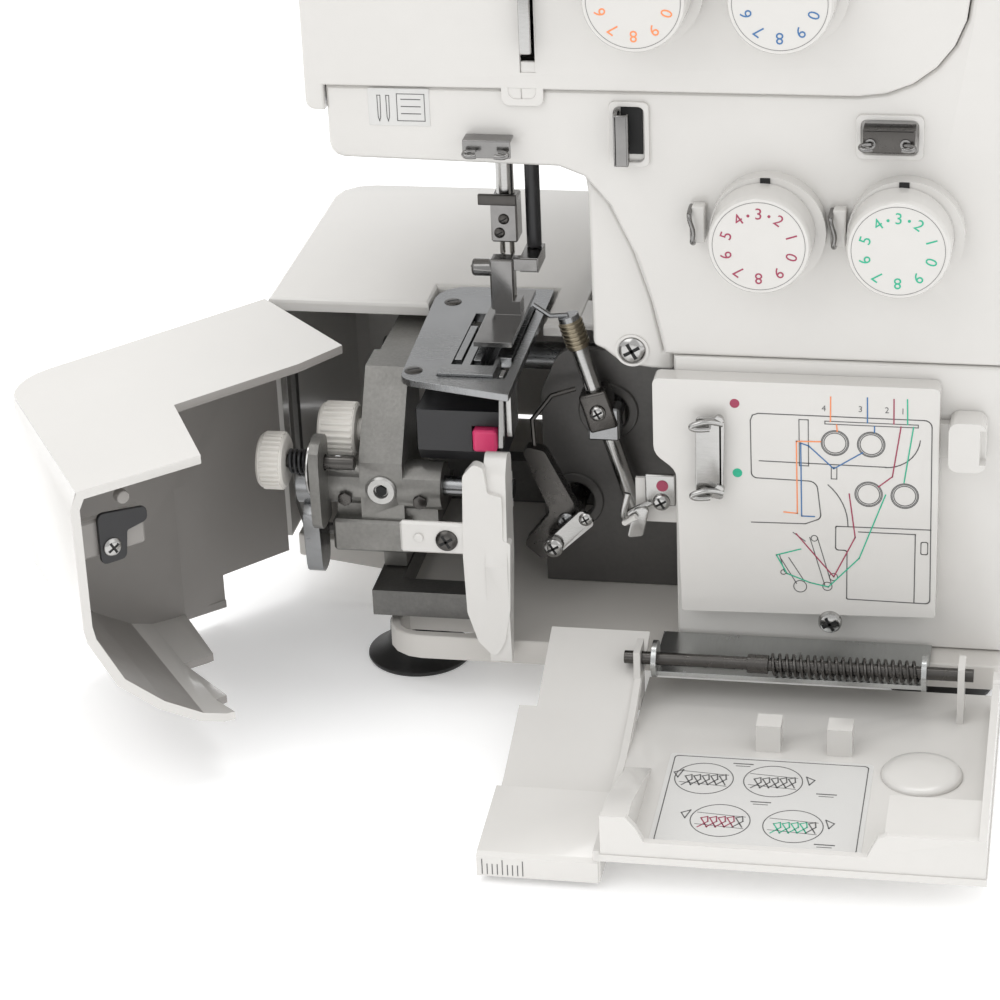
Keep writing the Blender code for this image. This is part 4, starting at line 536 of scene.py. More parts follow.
def make_side_cover():
    """The cover and its latch bracket with soft edges, the bracket's screw and a moulded boss."""
    cover = finish_piece("side_cover_shape", from_node("side_cover"), SHELL_WHITE,
                         "side_cover_body", ["side_cover"], 0.8, angle=50)
    # A second material slot holds the painted shade for the cover's inward faces
    cover.data.materials.append(INSIDE_PAINTED_SHADE)
    swing = Matrix.Rotation(math.radians(-SIDE_OPEN), 3, "Z")
    inward = swing @ Vector((0.7, 0.7, -0.14))
    reach = swing @ Vector((1, 0, 0))
    hinge = HOME + SIDE_HINGE * MM
    # Faces turned inward, and the underside, get the painted shade; the end rim stays white
    for face in cover.data.polygons:
        in_painted_shade = face.normal.dot(inward) > 0.25 or face.normal.z < -0.8
        at_end = (face.center - hinge).dot(reach) > 0.1 and face.normal.dot(reach) > 0.9
        face.material_index = 1 if in_painted_shade and not at_end else 0
    finish_piece("latch_bracket_shape", from_node("side_latch_bracket"), BLACK,
                 "side_cover_body", ["side_latch_bracket"], 0.35)
    turn = Matrix.Translation(SIDE_HINGE) @ Matrix.Rotation(math.radians(-SIDE_OPEN), 4, "Z")
    axis = turn.to_3x3() @ Vector((1, 0, 0))
    cross_screw("latch_bracket_screw", turn @ Vector((91.8, -110.9, 91.0)), axis, 3.2, 1.3,
                "side_cover_body")
    # The boss on the cover's inside carries the same painted shade
    boss = rod((92.0, -106.9, 108.5), (95.4, -106.9, 108.5), 2.2, rounding=0.4)
    finish_piece("side_cover_boss", moved(boss, turn), INSIDE_PAINTED_SHADE, "side_cover_body")


# ---------------------------------------------------------------- dials

DIGIT_RING = 10.6                  # radius of the ring of digits on a dial

DIALS = {
    "tension_dial_left_needle": (-60.1, 251.2, "orange"),
    "tension_dial_right_needle": (-15.4, 251.4, "blue"),
    "tension_dial_upper_looper": (-22.0, 173.0, "maroon"),
    "tension_dial_lower_looper": (21.4, 172.8, "green"),
}


def make_dials():
    face_y = -10.3
    for name, (x, z, colour) in DIALS.items():
        body = BODY_OF[name]
        profile = [(0, 12.0), (14.5, 12.0), (14.7, 11.95), (14.9, 12.0), (15.6, 11.8),
                   (16.1, 11.0), (16.3, 9.0), (16.6, 0.0), (0, 0)]
        cap = turned(profile, (x, 1.7, z), (0, -1, 0), 96)
        finish_piece(name + "_cap", cap, SHELL_WHITE, body, [name], angle=40)
        shapes = []
        for index, digit in enumerate("3210987654"):
            angle = math.radians(-36 * index)
            matrix = (Matrix.Translation((x - DIGIT_RING * math.sin(angle), face_y - 0.02,
                                          z + DIGIT_RING * math.cos(angle)))
                      @ Matrix.Rotation(-angle, 4, "Y")
                      @ Matrix.Rotation(math.radians(90), 4, "X"))
            shapes.append(letter(digit, 5.3, matrix, 0.1))
        for side in (-1, 1):
            angle = math.radians(18 * side)
            spot = (x + DIGIT_RING * math.sin(angle), z + DIGIT_RING * math.cos(angle))
            shapes.append(rod((spot[0], face_y, spot[1]), (spot[0], face_y - 0.07, spot[1]),
                              0.5, sides=16))
        finish_piece(name + "_digits", merged(*shapes), INKS[colour], body, weld=False)
        line = ring((x, z), 14.65, 0.14, 0.05, face_y, 96)
        finish_piece(name + "_line", line, INKS["black"], body)
        # The index notch above the dial is a dark block: painted shadow in the notch
        slot = block((x - 0.8, 1.5, z + 15.9), (x + 2.4, 2.6, z + 18.2), 0.1)
        finish_piece(name + "_index", slot, SHADOW, "chassis")


# ---------------------------------------------------------------- threading panel

def make_panel_print():
    """The threading diagram: lines and circles as thin prints on the panel's face."""
    face = -0.02
    grey = []
    frame_points = [(-26.0, 108.5), (-25.3, 110.3)]
    frame_points += rounded([(-23.5, 111.0, 0), (32.6, 110.8, 2.5), (33.2, 44.3, 1.5),
                            (5.8, 44.6, 0.5), (5.8, 62.7, 1), (2.0, 62.7, 1), (2.0, 71.4, 0.5),
                            (33.0, 71.6, 0)])
    grey += strip(frame_points, 0.35, 0.05, face)
    grey += strip(rounded([(-26, 108.5, 0), (-25.7, 87.8, 2), (-4.3, 87.4, 3), (-2.8, 74.0, 2),
                           (-8.0, 71.8, 1), (-25.7, 71.5, 0)]), 0.35, 0.05, face)
    grey += strip([(-23.1, 94.0), (18.0, 93.6)] + arc((18, 104.5), 11, -90, -5, 10), 0.35, 0.05,
                  face)
    grey += strip([(-1.8, 109.2), (28.2, 109.1), (28.2, 108.1), (-1.8, 108.2), (-1.8, 109.2)],
                  0.3, 0.05, face)
    for x, z in ((1.5, 101.5), (13.2, 101.5), (12.6, 83.6), (24.3, 83.5)):
        grey.append(ring((x, z), 4.6, 0.3, 0.05, face))
        grey.append(ring((x, z), 4.2, 0.25, 0.05, face))
        grey.append(ring((x, z), 3.7, 0.3, 0.05, face))
    grey += strip([(-10.2, 109.4), (-7.2, 109.4), (-7.0, 92.9), (-10.0, 92.9), (-10.2, 109.4)],
                  0.3, 0.05, face)
    grey += strip([(0.4, 92.8), (2.2, 92.8), (2.2, 88.6), (0.4, 88.6), (0.4, 92.8)], 0.3, 0.05,
                  face)
    grey += strip([(28.0, 44.5), (28.0, 69.7), (9.5, 69.7)], 0.35, 0.05, face)
    grey += strip(rounded([(29.9, 67, .6), (32.1, 67, .6), (32.1, 62.5, .6), (29.9, 62.5, .6)])
                  + [(29.9, 66.4)], 0.3, 0.05, face)
    grey += strip(arc((-14.0, 71.5), 20, 0, 48, 8), 0.35, 0.05, face)
    for start, end in (((-6.5, 66.8), (-1.5, 49.5)), ((-4.0, 67.0), (0.8, 49.8)),
                       ((-16.0, 58.5), (-10.8, 49.5)), ((-13.4, 59.0), (-8.2, 50.5))):
        grey += strip([start, end], 0.3, 0.05, face)
    for x, z, radius in ((-9.6, 48.5, 2.3), (-0.6, 49.0, 1.7), (1.4, 52.6, 1.5),
                         (-15.2, 53.5, 1.0), (-5.0, 66.6, 1.2)):
        grey.append(ring((x, z), radius, 0.3, 0.05, face, 24))
    grey += strip([(-11.0, 62.0), (-16.5, 60.0), (-14.8, 53.6)], 0.3, 0.05, face)
    grey += strip([(-12.0, 68.4), (-8.0, 65.4)], 0.3, 0.05, face)
    for text, x, z in (("4", -2.2, 113.6), ("3", 9.6, 113.8), ("2", 18.1, 113.8),
                       ("1", 23.2, 113.6)):
        matrix = (Matrix.Translation((x, face, z)) @ Matrix.Rotation(math.radians(90), 4, "X"))
        grey.append(letter(text, 3.0, matrix))
    finish_piece("panel_diagram", merged(*grey), INKS["black"], "chassis", weld=False)
    threads = {
        "orange": [[(0, 117.8), (0, 109.2)], [(2.0, 108), (2.2, 105.8)], [(-3.2, 101.8),
                   (-11.0, 101.6), (-10.6, 75.5), (-15.0, 75.8)]],
        "blue": [[(11.8, 118.0), (11.9, 109.2)], [(14.2, 108), (14.2, 106)], [(10.5, 98.5),
                 (1.2, 92.3), (-7.0, 100.1), (-9.6, 101.0), (-9.2, 74.6), (-5.0, 74.6)]],
        "maroon": [[(20.3, 117.8), (20.4, 109.2)], [(22.7, 108.2), (20.2, 90.3), (15.8, 86.5)],
                   [(6.3, 83.4), (8.4, 67.6), (1.5, 52.7), (-11.0, 68.0)]],
        "green": [[(24.6, 117.9), (24.8, 109.2)], [(26.7, 108.2), (24.0, 88.4)],
                  [(18.1, 83.6), (9.8, 60.0), (-0.3, 48.8), (-6.4, 50.1), (-14.0, 53.1),
                   (-17.5, 59.8), (-9.5, 62.4)]],
    }
    for colour, runs in threads.items():
        lines = [piece for run in runs for piece in strip(run, 0.42, 0.06, face - 0.03)]
        finish_piece(f"panel_{colour}_thread", merged(*lines), INKS[colour], "chassis",
                     weld=False)
    for colour, x, z in (("maroon", -31.1, 114.2), ("green", -30.3, 89.3)):
        dot = rod((x, 0.0, z), (x, -0.08, z), 1.6, sides=32)
        finish_piece(f"panel_{colour}_dot", dot, INKS[colour], "chassis")
    cross_screw("panel_screw", (0.4, 0, 35.8), (0, -1, 0), 4.0, 2.4, "chassis")


# ---------------------------------------------------------------- thread guides

def hook(centre, side, size=2.6, wire=0.75):
    """A small bent-wire hook beside a plate."""
    x, y, z = centre
    return tube([(x, y, z), (x + side * size * 0.6, y - 1.2, z + 0.3),
                 (x + side * size, y - 2.4, z - 0.2), (x + side * size * 0.5, y - 3.6, z - 0.9),
                 (x - side * size * 0.3, y - 3.2, z - 0.6)], wire)


def make_guides():
    plate_y = 1.0
    body = block((-117.6, plate_y, 195.6), (-102, plate_y + 1.0, 201.4), 0.4)
    fold = block((-117.6, plate_y, 200.6), (-102, 7.6, 201.6), 0.4)
    shapes = [body, fold]
    for x, side in ((-113.6, -1), (-105.6, 1)):
        shapes.append(hook((x, plate_y, 198.0), side, 3.4, 0.8))
    finish_piece("needle_guide_shape", merged(*shapes), DARK_CHROME, "chassis",
                 ["needle_thread_guide"])
    side_wall = block((-68.9, 0.6, 194), (-67.7, 7.6, 211), 0.4)
    face = block((-68.9, 0.6, 194), (-64.2, 1.8, 211), 0.5)
    lip = block((-65.2, 0.6, 194.2), (-64.2, 4.2, 210.8), 0.4)
    finish_piece("channel_shape", merged(side_wall, face, lip), DARK_CHROME, "chassis",
                 ["thread_channel"])
    # A thin dark sheet in the channel: painted shadow in its recess
    finish_piece("channel_recess", block((-67.4, 7.5, 196), (-60.4, 7.9, 212), 0.2), SHADOW,
                 "chassis")
    face = block((9.1, 1.6, 200.3), (25.3, 2.8, 208.2), 0.5)
    top = block((9.1, 1.6, 207.1), (25.3, 7.6, 208.2), 0.4)
    finish_piece("clip_shape", merged(face, top), DARK_STEEL, "chassis", ["looper_thread_clip"])
    for index, (x, side) in enumerate(((10.4, -1), (21.4, 1))):
        finish_piece(f"clip_hook_{index}", hook((x + 1, 1.6, 203.3), side, 3.2, 0.75), DARK_CHROME,
                     "chassis")
        eye = moved(ring((0, 0), 1.7, 0.7, 0.5, 0, 32), Matrix.Translation((x + 1, 1.6, 203.5)))
        finish_piece(f"clip_eye_{index}", eye, DARK_CHROME, "chassis")
    for index, x in enumerate((-43.8, 0.9)):
        z = 174.2
        leg = block((x - 1.6, 3.2, z - 5.2), (x + 1.8, 4.2, z + 5.2), 0.3)
        spring = tube([(x - 1.4, 6.5, z + 5.4), (x - 1.6, 1.0, z + 5.2), (x - 1.2, -0.4, z + 3),
                       (x + 0.2, 0.2, z - 1.5), (x - 0.8, 0.0, z - 5), (x - 0.4, 3.0, z - 6)],
                      0.75)
        seat = block((x - 1.0, 3.0, z - 6), (x + 3.2, 7.9, z + 6.4), 0.6)
        finish_piece(f"dial_hook_{index}", merged(leg, spring), DARK_CHROME, "chassis")
        finish_piece(f"dial_hook_seat_{index}", seat, SHELL_WHITE, "chassis")


def make_casing_frames():
    """Raised white rims round the take-up slot and the thread channel, and the slot's rail."""
    def rim(name, low_x, high_x, low_z, high_z, width, corner):
        bm = bmesh.new()
        loops = []
        for inset in (0.0, width):
            outline = rounded([(low_x + inset, low_z + inset, corner),
                               (high_x - inset, low_z + inset, corner),
                               (high_x - inset, high_z - inset, corner),
                               (low_x + inset, high_z - inset, corner)])
            verts = [bm.verts.new((u, 0, v)) for u, v in outline]
            loops += [bm.edges.new(pair) for pair in zip(verts, verts[1:] + verts[:1])]
        faces = bmesh.ops.bridge_loops(bm, edges=loops)["faces"]
        lifted = bmesh.ops.extrude_face_region(bm, geom=faces)
        front = [item for item in lifted["geom"] if isinstance(item, bmesh.types.BMVert)]
        bmesh.ops.translate(bm, vec=(0, -1.5, 0), verts=front)
        bmesh.ops.translate(bm, vec=(0, 8.1, 0), verts=bm.verts)
        bmesh.ops.recalc_face_normals(bm, faces=bm.faces)
        finish_piece(name, bm, SHELL_WHITE, "chassis", soft=0.35)

    rim("take_up_rim", -105.4, -91.8, 211.4, 268.0, 2.4, 2.4)
    rim("channel_rim", -71.2, -58.4, 192.0, 213.5, 1.6, 2.0)
    rim("clip_rim", 6.6, 27.6, 196.5, 211.0, 1.6, 2.0)
    for name, low, high in (("take_up_cheek", (-104.0, 6.9, 213.5), (-98.9, 8.6, 266.5)),
                            ("take_up_sill", (-98.9, 6.9, 213.5), (-93.4, 8.6, 226.0))):
        finish_piece(name, block(low, high, 0.5), SHELL_WHITE, "chassis")
    shoe = block((-98.1, 1.2, 230.0), (-94.4, 3.2, 252.0), 0.6)
    finish_piece("take_up_shoe", shoe, BRIGHT, "take_up")


def make_blank_label():
    """A small blank plate with a needle's outline beside the needles."""
    sticker = block((-149.0, 7.78, 203.5), (-129.0, 8.3, 216.0), 0.12)
    finish_piece("blank_label", sticker, LABEL, "chassis")
    lines = []
    for x in (-145.5, -142.6):
        lines += strip([(x - 0.5, 213.6), (x + 0.5, 213.6), (x + 0.4, 206.4), (x, 205.0),
                        (x - 0.4, 206.4), (x - 0.5, 213.6)], 0.25, 0.05, 7.77)
    lines += strip([(-139.6, 205.2), (-130.6, 205.2), (-130.6, 214.2), (-139.6, 214.2),
                    (-139.6, 205.2)], 0.25, 0.05, 7.77)
    for row in range(3):
        lines += strip([(-138.2, 207.6 + 2.4 * row), (-132.0, 207.6 + 2.4 * row)], 0.3, 0.05,
                       7.77)
    finish_piece("blank_label_print", merged(*lines), INKS["black"], "chassis", weld=False)


def make_looper_guide():
    plate_shape = plate(rounded([(-43.6, 82.5, 1.2), (-34.6, 81.0, 1.2), (-34.0, 110.6, 1.2),
                                 (-43.4, 110.4, 1.2)]), -4.0, -3.0, "XZ", 0.25)
    cut_side = block((-36, -4.0, 84), (-34.8, -0.3, 108), 0.3)
    shapes = [plate_shape, cut_side]
    for z in (83.6, 108.4):
        shapes.append(tube([(-34.6, -4, z), (-38.0, -5.4, z + 1.6), (-42.0, -6.4, z + 1.2),
                            (-45.2, -6.2, z - 0.4), (-43.0, -6.0, z - 1.6),
                            (-38.8, -5.0, z - 1.4)], 1.0))
        shapes.append(rod((-35.8, -4.8, z + 1.5), (-35.8, -2.8, z + 1.5), 1.6, rounding=0.3))
    finish_piece("looper_guide_shape", merged(*shapes), BRIGHT, "chassis",
                 ["looper_thread_guide"])
    eye = block((-62.5, 9.6, 71), (-52.2, 11.4, 82.5), 0.6)
    hook_wire = tube([(-60, 11, 72), (-66, 8, 70), (-69.5, 5, 68), (-68.6, 3, 73),
                      (-67.5, 4, 78)], 1.2)
    flag = plate(rounded([(-68.5, 60, 1), (-63, 61, 1), (-60.5, 72, 1.5), (-66, 71, 1.5)]), 6.4,
                 8.0, "XZ", 0.4)
    finish_piece("bay_guide", merged(eye, hook_wire, flag), BRIGHT, "chassis")
    dot = rod((-56.6, 9.6, 78.6), (-56.6, 9.3, 78.6), 2.0, sides=32)
    finish_piece("bay_guide_dot", dot, INKS["maroon"], "chassis")
    cross_screw("bay_guide_screw", (-57.0, 9.4, 72.6), (0, -1, 0), 3.0, 1.4, "chassis")


# ---------------------------------------------------------------- mechanism

def ribbed(start, end, radius, centre_y, centre_z, ribs=28):
    """A knob along X with fine ribs, a plain rim and a shallow hollow in its face."""
    length = end - start
    core = turned([(0, length - 1.4), (radius * 0.55, length - 1.4), (radius * 0.62, length),
                   (radius * 0.86, length), (radius * 0.93, length - 0.8),
                   (radius * 0.93, 0.6), (radius * 0.85, 0), (0, 0)], (0, 0, 0), (0, 0, 1), 64)
    shapes = [core]
    for index in range(ribs):
        angle = math.tau * index / ribs
        rib = rod((radius * 0.92, 0, 0.9), (radius * 0.92, 0, length - 1.6), radius * 0.075,
                  sides=10, rounding=0.15)
        shapes.append(moved(rib, Matrix.Rotation(angle, 4, "Z")))
    knob = merged(*shapes)
    flip = Matrix.Rotation(math.radians(-90), 4, "Y")
    return moved(knob, Matrix.Translation((end, centre_y, centre_z)) @ flip)


def coil(start, end, turns, radius, wire, centre_y, centre_z, per_turn=20):
    count = turns * per_turn
    points = []
    for step in range(count + 1):
        angle = math.tau * step / per_turn
        points.append((start + (end - start) * step / count,
                       centre_y + radius * math.cos(angle), centre_z + radius * math.sin(angle)))
    return tube(points, wire, smooth=False, resolution=3)


def make_knobs():
    finish_piece("length_knob_shape", ribbed(-193.2, -184.2, 10.0, 6.0, 83.5, 30), IVORY,
                 "length_adjuster", ["stitch_length_knob"])
    stem = rod((-186, 6, 83.5), (-160.8, 6, 83.5), 2.3, rounding=0.3)
    finish_piece("length_knob_stem", stem, DARK_STEEL, "length_adjuster")
    finish_piece("width_knob_shape", ribbed(-176, -163, 9.5, 24.0, 88.0, 26), IVORY,
                 "width_adjuster", ["cutting_width_knob"])
    stem = rod((-166, 24, 88), (-160.6, 24, 88), 3.8, rounding=0.4)
    finish_piece("width_knob_stem", stem, IVORY, "width_adjuster")
    finish_piece("knob_spring_wire", coil(-183.2, -175.2, 5, 3.7, 0.62, 6.0, 83.5), BLACK,
                 "chassis", ["knob_spring"])
    washer = turned([(0, 1.2), (9.5, 1.2), (10.0, 0.8), (10.0, 0.3), (9.6, 0), (0, 0)],
                    (-175.8, 6.0, 82.0), (1, 0, 0), 64)
    finish_piece("knob_washer", washer, BRIGHT, "chassis")
    finish_piece("cover_spring_wire", coil(-17.2, 31.4, 21, 3.45, 0.56, HINGE_Y, HINGE_Z),
                 DARK_STEEL, "chassis", ["cover_spring"])


def make_feet():
    for name in ("foot_front_left", "foot_front_right", "foot_rear_left", "foot_rear_right"):
        low, high = (Vector(corner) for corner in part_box(name))
        centre = (low + high) / 2 - HOME
        spot = Vector((centre.x * 1000, centre.y * 1000, 0))
        profile = [(0, 13.7), (9, 13.7), (10.2, 13.2), (10.4, 9.4), (11.6, 6.4), (14.6, 3.6),
                   (17.2, 2.4), (18.4, 1.6), (18.5, 0.9), (18.0, 0.1), (17.2, 0), (0, 0)]
        finish_piece(name + "_shape", turned(profile, spot, (0, 0, 1), 72), RUBBER, "chassis",
                     [name], angle=45)


def make_handwheel():
    profile = [(5.2, 17), (11, 17), (13, 16.2), (15, 15.6), (21, 15.6), (23.5, 16.6), (25.6, 15.4),
               (26.9, 12.5), (27, 5), (26, 1.6), (23.5, 0), (5.2, 0), (5.2, 17)]
    wheel = turned(profile, (59, SHAFT_Y, SHAFT_Z), (1, 0, 0), 72)
    finish_piece("handwheel_rim", wheel, SHELL_WHITE, "drive", ["handwheel"], angle=40)


def make_needle_parts():
    x, y = NEEDLE_X, NEEDLE_Y
    guide = block((x - 8.6, y - 5.6, 159.6), (x + 4.6, y - 4.0, 163.4), 0.4)
    finish_piece("needle_clamp_guide", guide, DARK_STEEL, "needle_drive")
    for index, z in enumerate((149.5, 154.5)):
        cross_screw(f"needle_screw_{index}", (x - 1.6 + 1.6 * index, y - 4.6, z), (0, -1, 0), 1.9,
                    0.9, "needle_drive", DARK_STEEL, True)
    cross_screw("foot_knob", (-125.3, y - 10, 139.0), (-1, 0, 0), 2.9, 1.0, "presser",
                DARK_STEEL, True)


def make_plate_details():
    cross_screw("plate_screw_front", (-139.0, 7.8, 118.0), (0, 0, 1), 3.1, 0.6, "chassis",
                DARK_STEEL, True)
    cross_screw("plate_screw_back", (-137.5, 67.5, 118.0), (0, 0, 1), 3.1, 0.6, "chassis",
                DARK_STEEL, True)
    cross_screw("fairing_screw", (-66.3, 13.0, 126.0), (0, -1, 0), 4.5, 1.6, "chassis")
    washer = ring((-66.3, 126.0), 5.6, 0.8, 0.5, 13.0)
    finish_piece("fairing_screw_rim", washer, SHELL_WHITE, "chassis")
    cross_screw("guard_screw", (-127.0, -9.05, 63.8), (0, -1, 0), 3.8, 1.6, "knife_drive",
                DARK_STEEL)
    dimple = rod((-136.5, -9.0, 64.5), (-136.5, -9.8, 64.5), 1.6, rounding=0.3)
    finish_piece("guard_pip", dimple, SHELL_WHITE, "knife_drive")
    plug = turned([(0, 0.2), (2.2, 0.2), (2.6, 1.4), (4.6, 1.4), (5.2, 0.8), (5.2, -1), (0, -1)],
                  (-152.5, 8.0, 73.0), (0, -1, 0), 48)
    finish_piece("block_plug", plug, CAST_LIGHT, "chassis")
    # The hex socket is a dark solid on the plug: painted shadow in the socket
    socket = rod((-152.5, 8.0, 73.0), (-152.5, 6.9, 73.0), 2.0, sides=6)
    finish_piece("block_plug_socket", socket, SHADOW, "chassis")
    for index, (x, z) in enumerate(((-139, 70), (-165, 70))):
        nut = rod((x, 7.2, z), (x, 5.4, z), 2.6, sides=6, rounding=0.3)
        finish_piece(f"bearing_nut_{index}", nut, DARK_STEEL, "chassis")


def make_looper_details():
    head = UPPER_PIVOT + Vector((-11.7, 0, 38.4))
    foot = UPPER_PIVOT + Vector((11.3, 0, -37.3))
    run = (head - foot).normalized()
    shaft = rod(foot + run * 2, head - run * 2, 2.9, rounding=0.4)
    finish_piece("upper_looper_rod", shaft, BRIGHT, "upper_looper_body")
    rings = [rod(head - run * (3.4 + 1.5 * step), head - run * (2.4 + 1.5 * step), 4.2,
                 rounding=0.25) for step in range(6)]
    rings.append(rod(head - run * 12.0, head - run * 1.8, 3.8, rounding=0.3))
    finish_piece("upper_looper_nut", merged(*rings), BRASS, "upper_looper_body")
    clamp = block((-5.2, -5.0, -7.0), (5.2, 5.0, 7.0), 1.0)
    lean = run.to_track_quat("Z", "Y").to_matrix().to_4x4()
    finish_piece("upper_looper_clamp",
                 moved(clamp, Matrix.Translation(foot.lerp(head, 0.56)) @ lean), DARK_STEEL,
                 "upper_looper_body")
    cross_screw("upper_looper_screw", foot.lerp(head, 0.56) + Vector((0, -5.6, 0)), (0, -1, 0),
                2.8, 1.3, "upper_looper_body", BRIGHT)
    cross_screw("threader_cross", (-96, 18.8, 48.6), (0, -1, 0), 3.4, 1.3, "threader")
    cross_screw("threader_end_screw", (-84.8, 20.5, 59.2), (0, -1, 0), 2.4, 1.0, "threader")
    cross_screw("lower_looper_cross", LOWER_PIVOT + Vector((0, -3.2, 0)), (0, -1, 0), 3.2, 1.3,
                "lower_looper_body", PLATE_STEEL)
    for index, pivot in enumerate((UPPER_PIVOT, LOWER_PIVOT)):
        lip = turned([(7.0, 0.0), (10.0, 0.0), (10.4, 0.5), (10.0, 1.0), (7.6, 1.0), (7.0, 0.6),
                      (7.0, 0.0)], (pivot.x, 44.0, pivot.z), (0, -1, 0), 48)
        finish_piece(f"bay_ring_{index}", lip, CHARCOAL, "chassis")


# ---------------------------------------------------------------- front cover

def flat_strip(points, width, z):
    """A thin printed line through points (x, y) on a level face."""
    shapes = strip(points, width, 0.05, 0)
    return [moved(shape, Matrix.Translation((0, 0, z)) @ Matrix.Rotation(math.radians(-90), 4,
                                                                         "X")) for shape in shapes]


def flat_ring(centre, radius, width, z, steps=48):
    return moved(ring((centre[0], centre[1]), radius, width, 0.05, 0, steps),
                 Matrix.Translation((0, 0, z)) @ Matrix.Rotation(math.radians(-90), 4, "X"))


def make_cover_inside():
    floor = HINGE_Z - 18.0 + 2.4
    body = "front_cover_body"
    label = plate(rounded([(-46, -54, 1.5), (19.5, -54, 1.5), (19.5, -109, 1.5),
                           (-46, -109, 1.5)]), floor, floor + 0.12, "XY")
    finish_piece("stitch_label", label, LABEL, body)
    z = floor + 0.14
    corners = rounded([(-44.4, -55.6, 1.5), (17.9, -55.6, 1.5), (17.9, -107.4, 1.5),
                       (-44.4, -107.4, 1.5)])
    grey = flat_strip(corners + corners[:1], 0.32, z)
    red = []
    green = []
    circles = ((-33.5, -68.8), (-11.5, -68.1), (-25.4, -93.2), (-2.6, -94.0))
    for index, (x, y) in enumerate(circles):
        grey.append(flat_ring((x, y), 9.5, 0.32, z))
        for side in (-1, 1):
            grey += flat_strip([(x - 7.6, y + 3.4 * side + 0.6), (x + 7.6, y + 3.4 * side - 0.6)],
                               0.22, z)
        for row in range(5):
            start = Vector((x - 6.6 + row * 2.7, y - 4.6 + row * 0.3))
            loop = [start, start + Vector((2.9, 3.6)), start + Vector((2.5, 6.4)),
                    start + Vector((0.5, 5.4)), start + Vector((2.2, 1.8)),
                    start + Vector((2.9, 0.2))]
            thread = red if index == 2 and row < 4 else green if index == 3 and row < 4 else grey
            thread.extend(flat_strip([tuple(point) for point in loop], 0.42, z))
    for x, y, side in ((-43.4, -66, 1), (1.6, -66, -1), (-38, -90, 1), (10.0, -91, -1)):
        grey += flat_strip([(x, y), (x + 2.8 * side, y + 1.8), (x + 1.5 * side, y - 3.0),
                            (x, y)], 0.4, z)
    for x, y in ((-22.0, -58.5), (6.0, -74.0), (8.0, -103.5), (-14.0, -81.0)):
        grey += flat_strip([(x - 3.0, y), (x + 3.0, y)], 0.5, z)
        grey += flat_strip([(x - 2.2, y - 1.4), (x + 2.2, y - 1.4)], 0.3, z)
    finish_piece("stitch_label_print", merged(*grey), INKS["black"], body, weld=False)
    finish_piece("stitch_label_red", merged(*red), INKS["maroon"], body, weld=False)
    finish_piece("stitch_label_green", merged(*green), INKS["green"], body, weld=False)
    dome = turned([(0, 2.0), (5, 1.9), (9.5, 1.6), (12.2, 0.9), (13.0, 0.0), (12.8, -0.8),
                   (0, -0.8)], (34.9, -58.8, floor + 0.6), (0, 0, 1), 64)
    finish_piece("cover_boss", dome, SHELL_WHITE, body, angle=60)
    for index, x in enumerate((-19.0, 4.0)):
        clip = merged(block((x, -49.5, floor), (x + 8, -48, floor + 8.5), 0.5),
                      block((x, -49.5, floor + 7.2), (x + 8, -44.5, floor + 8.6), 0.5),
                      block((x + 0.5, -46, floor), (x + 2.2, -42, floor + 6), 0.5),
                      block((x + 5.8, -46, floor), (x + 7.5, -42, floor + 6), 0.5))
        finish_piece(f"cover_clip_shape_{index}", clip, SHELL_WHITE, body)
    ticks = []
    for index in range(9):
        x = -97 + index * 1.6
        ticks.append(block((x, -116.68, 3.6), (x + 0.3, -116.58, 7.4 if index % 4 else 9.0), 0))
    finish_piece("seam_scale", merged(*ticks), INKS["black"], body, weld=False)


# ---------------------------------------------------------------- studio

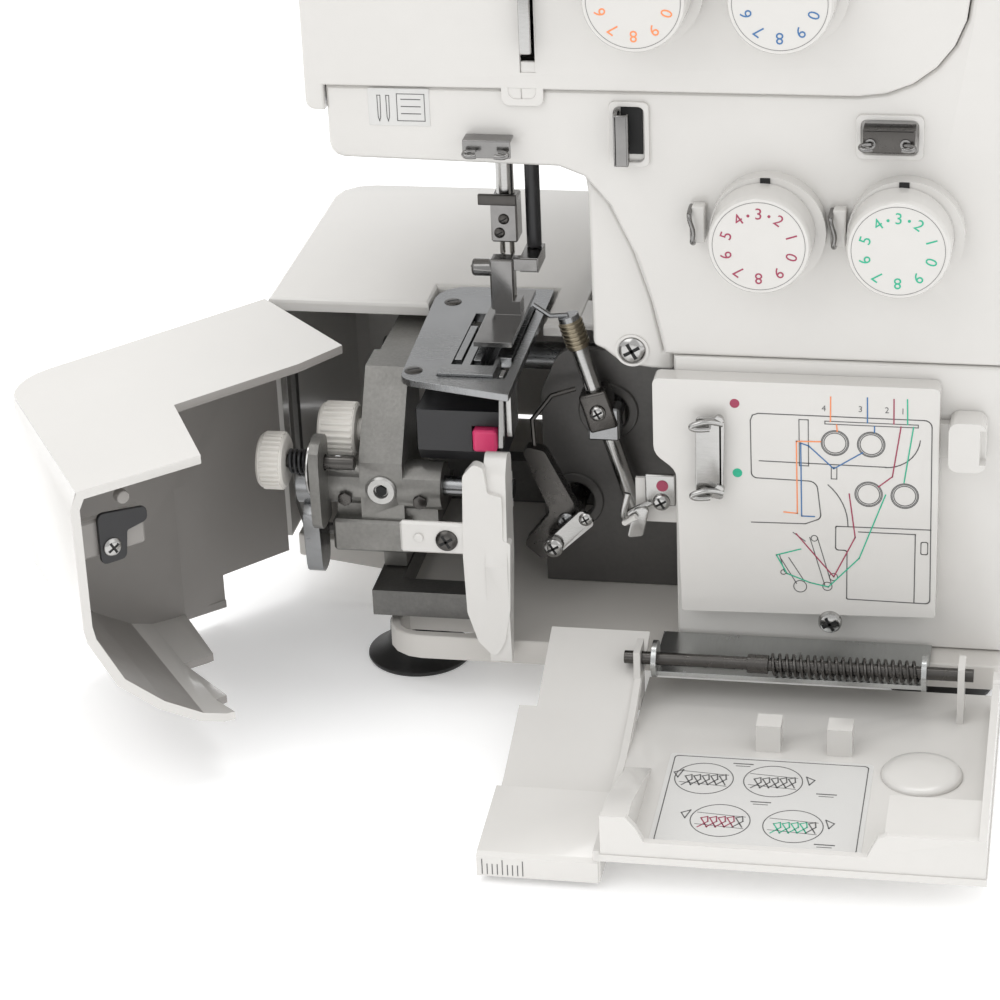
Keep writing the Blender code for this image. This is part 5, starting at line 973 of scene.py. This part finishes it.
def make_camera():
    camera = bpy.data.cameras.new("camera")
    camera.lens = CAMERA_LENS
    camera.sensor_width = 36
    camera.clip_start = 0.01
    holder = bpy.data.objects.new("camera", camera)
    turn = (Matrix.Rotation(math.radians(CAMERA_YAW), 4, "Z")
            @ Matrix.Rotation(math.radians(90 - CAMERA_PITCH), 4, "X")
            @ Matrix.Rotation(math.radians(CAMERA_ROLL), 4, "Z"))
    holder.matrix_world = Matrix.Translation(HOME + CAMERA_AT * MM) @ turn
    bpy.context.scene.collection.objects.link(holder)
    bpy.context.scene.camera = holder


def area_light(name, place, aim, size, power, colour=(1, 1, 1)):
    light = bpy.data.lights.new(name, "AREA")
    light.shape = "RECTANGLE"
    light.size, light.size_y = size
    light.energy = power
    light.color = colour
    holder = bpy.data.objects.new(name, light)
    holder.location = place
    holder.rotation_euler = (Vector(aim) - Vector(place)).to_track_quat("-Z", "Y").to_euler()
    bpy.context.scene.collection.objects.link(holder)


def make_studio():
    bm = bmesh.new()
    bmesh.ops.create_grid(bm, x_segments=2, y_segments=2, size=4)
    mesh = bpy.data.meshes.new("floor")
    bm.to_mesh(mesh)
    bm.free()
    floor = bpy.data.objects.new("floor", mesh)
    bpy.context.scene.collection.objects.link(floor)
    paper = moulded("floor_paper", (0.96, 0.96, 0.96), 0.7, 0.0)
    shader = paper.node_tree.nodes["Principled BSDF"]
    shader.inputs["Emission Color"].default_value = (1, 1, 1, 1)
    shader.inputs["Emission Strength"].default_value = 0.22
    mesh.materials.append(paper)
    world = bpy.data.worlds.new("studio")
    world.use_nodes = True
    world.node_tree.nodes["Background"].inputs[0].default_value = (1, 1, 1, 1)
    world.node_tree.nodes["Background"].inputs[1].default_value = 0.84
    bpy.context.scene.world = world
    bpy.context.scene.view_settings.view_transform = "Standard"
    area_light("key", (-0.9, -1.2, 1.6), (0, 0, 0.12), (1.5, 1.5), 9.5)
    area_light("fill", (1.3, -0.9, 1.0), (0, 0, 0.12), (1.4, 1.4), 4.0)
    area_light("top", (0.0, 0.3, 1.8), (0, 0, 0.1), (1.2, 0.8), 12.0)


make_camera()
make_studio()
refine_nodes()
make_side_cover()
make_dials()
make_panel_print()
make_guides()
make_casing_frames()
make_blank_label()
make_looper_guide()
make_knobs()
make_feet()
make_handwheel()
make_needle_parts()
make_plate_details()
make_looper_details()
make_cover_inside()
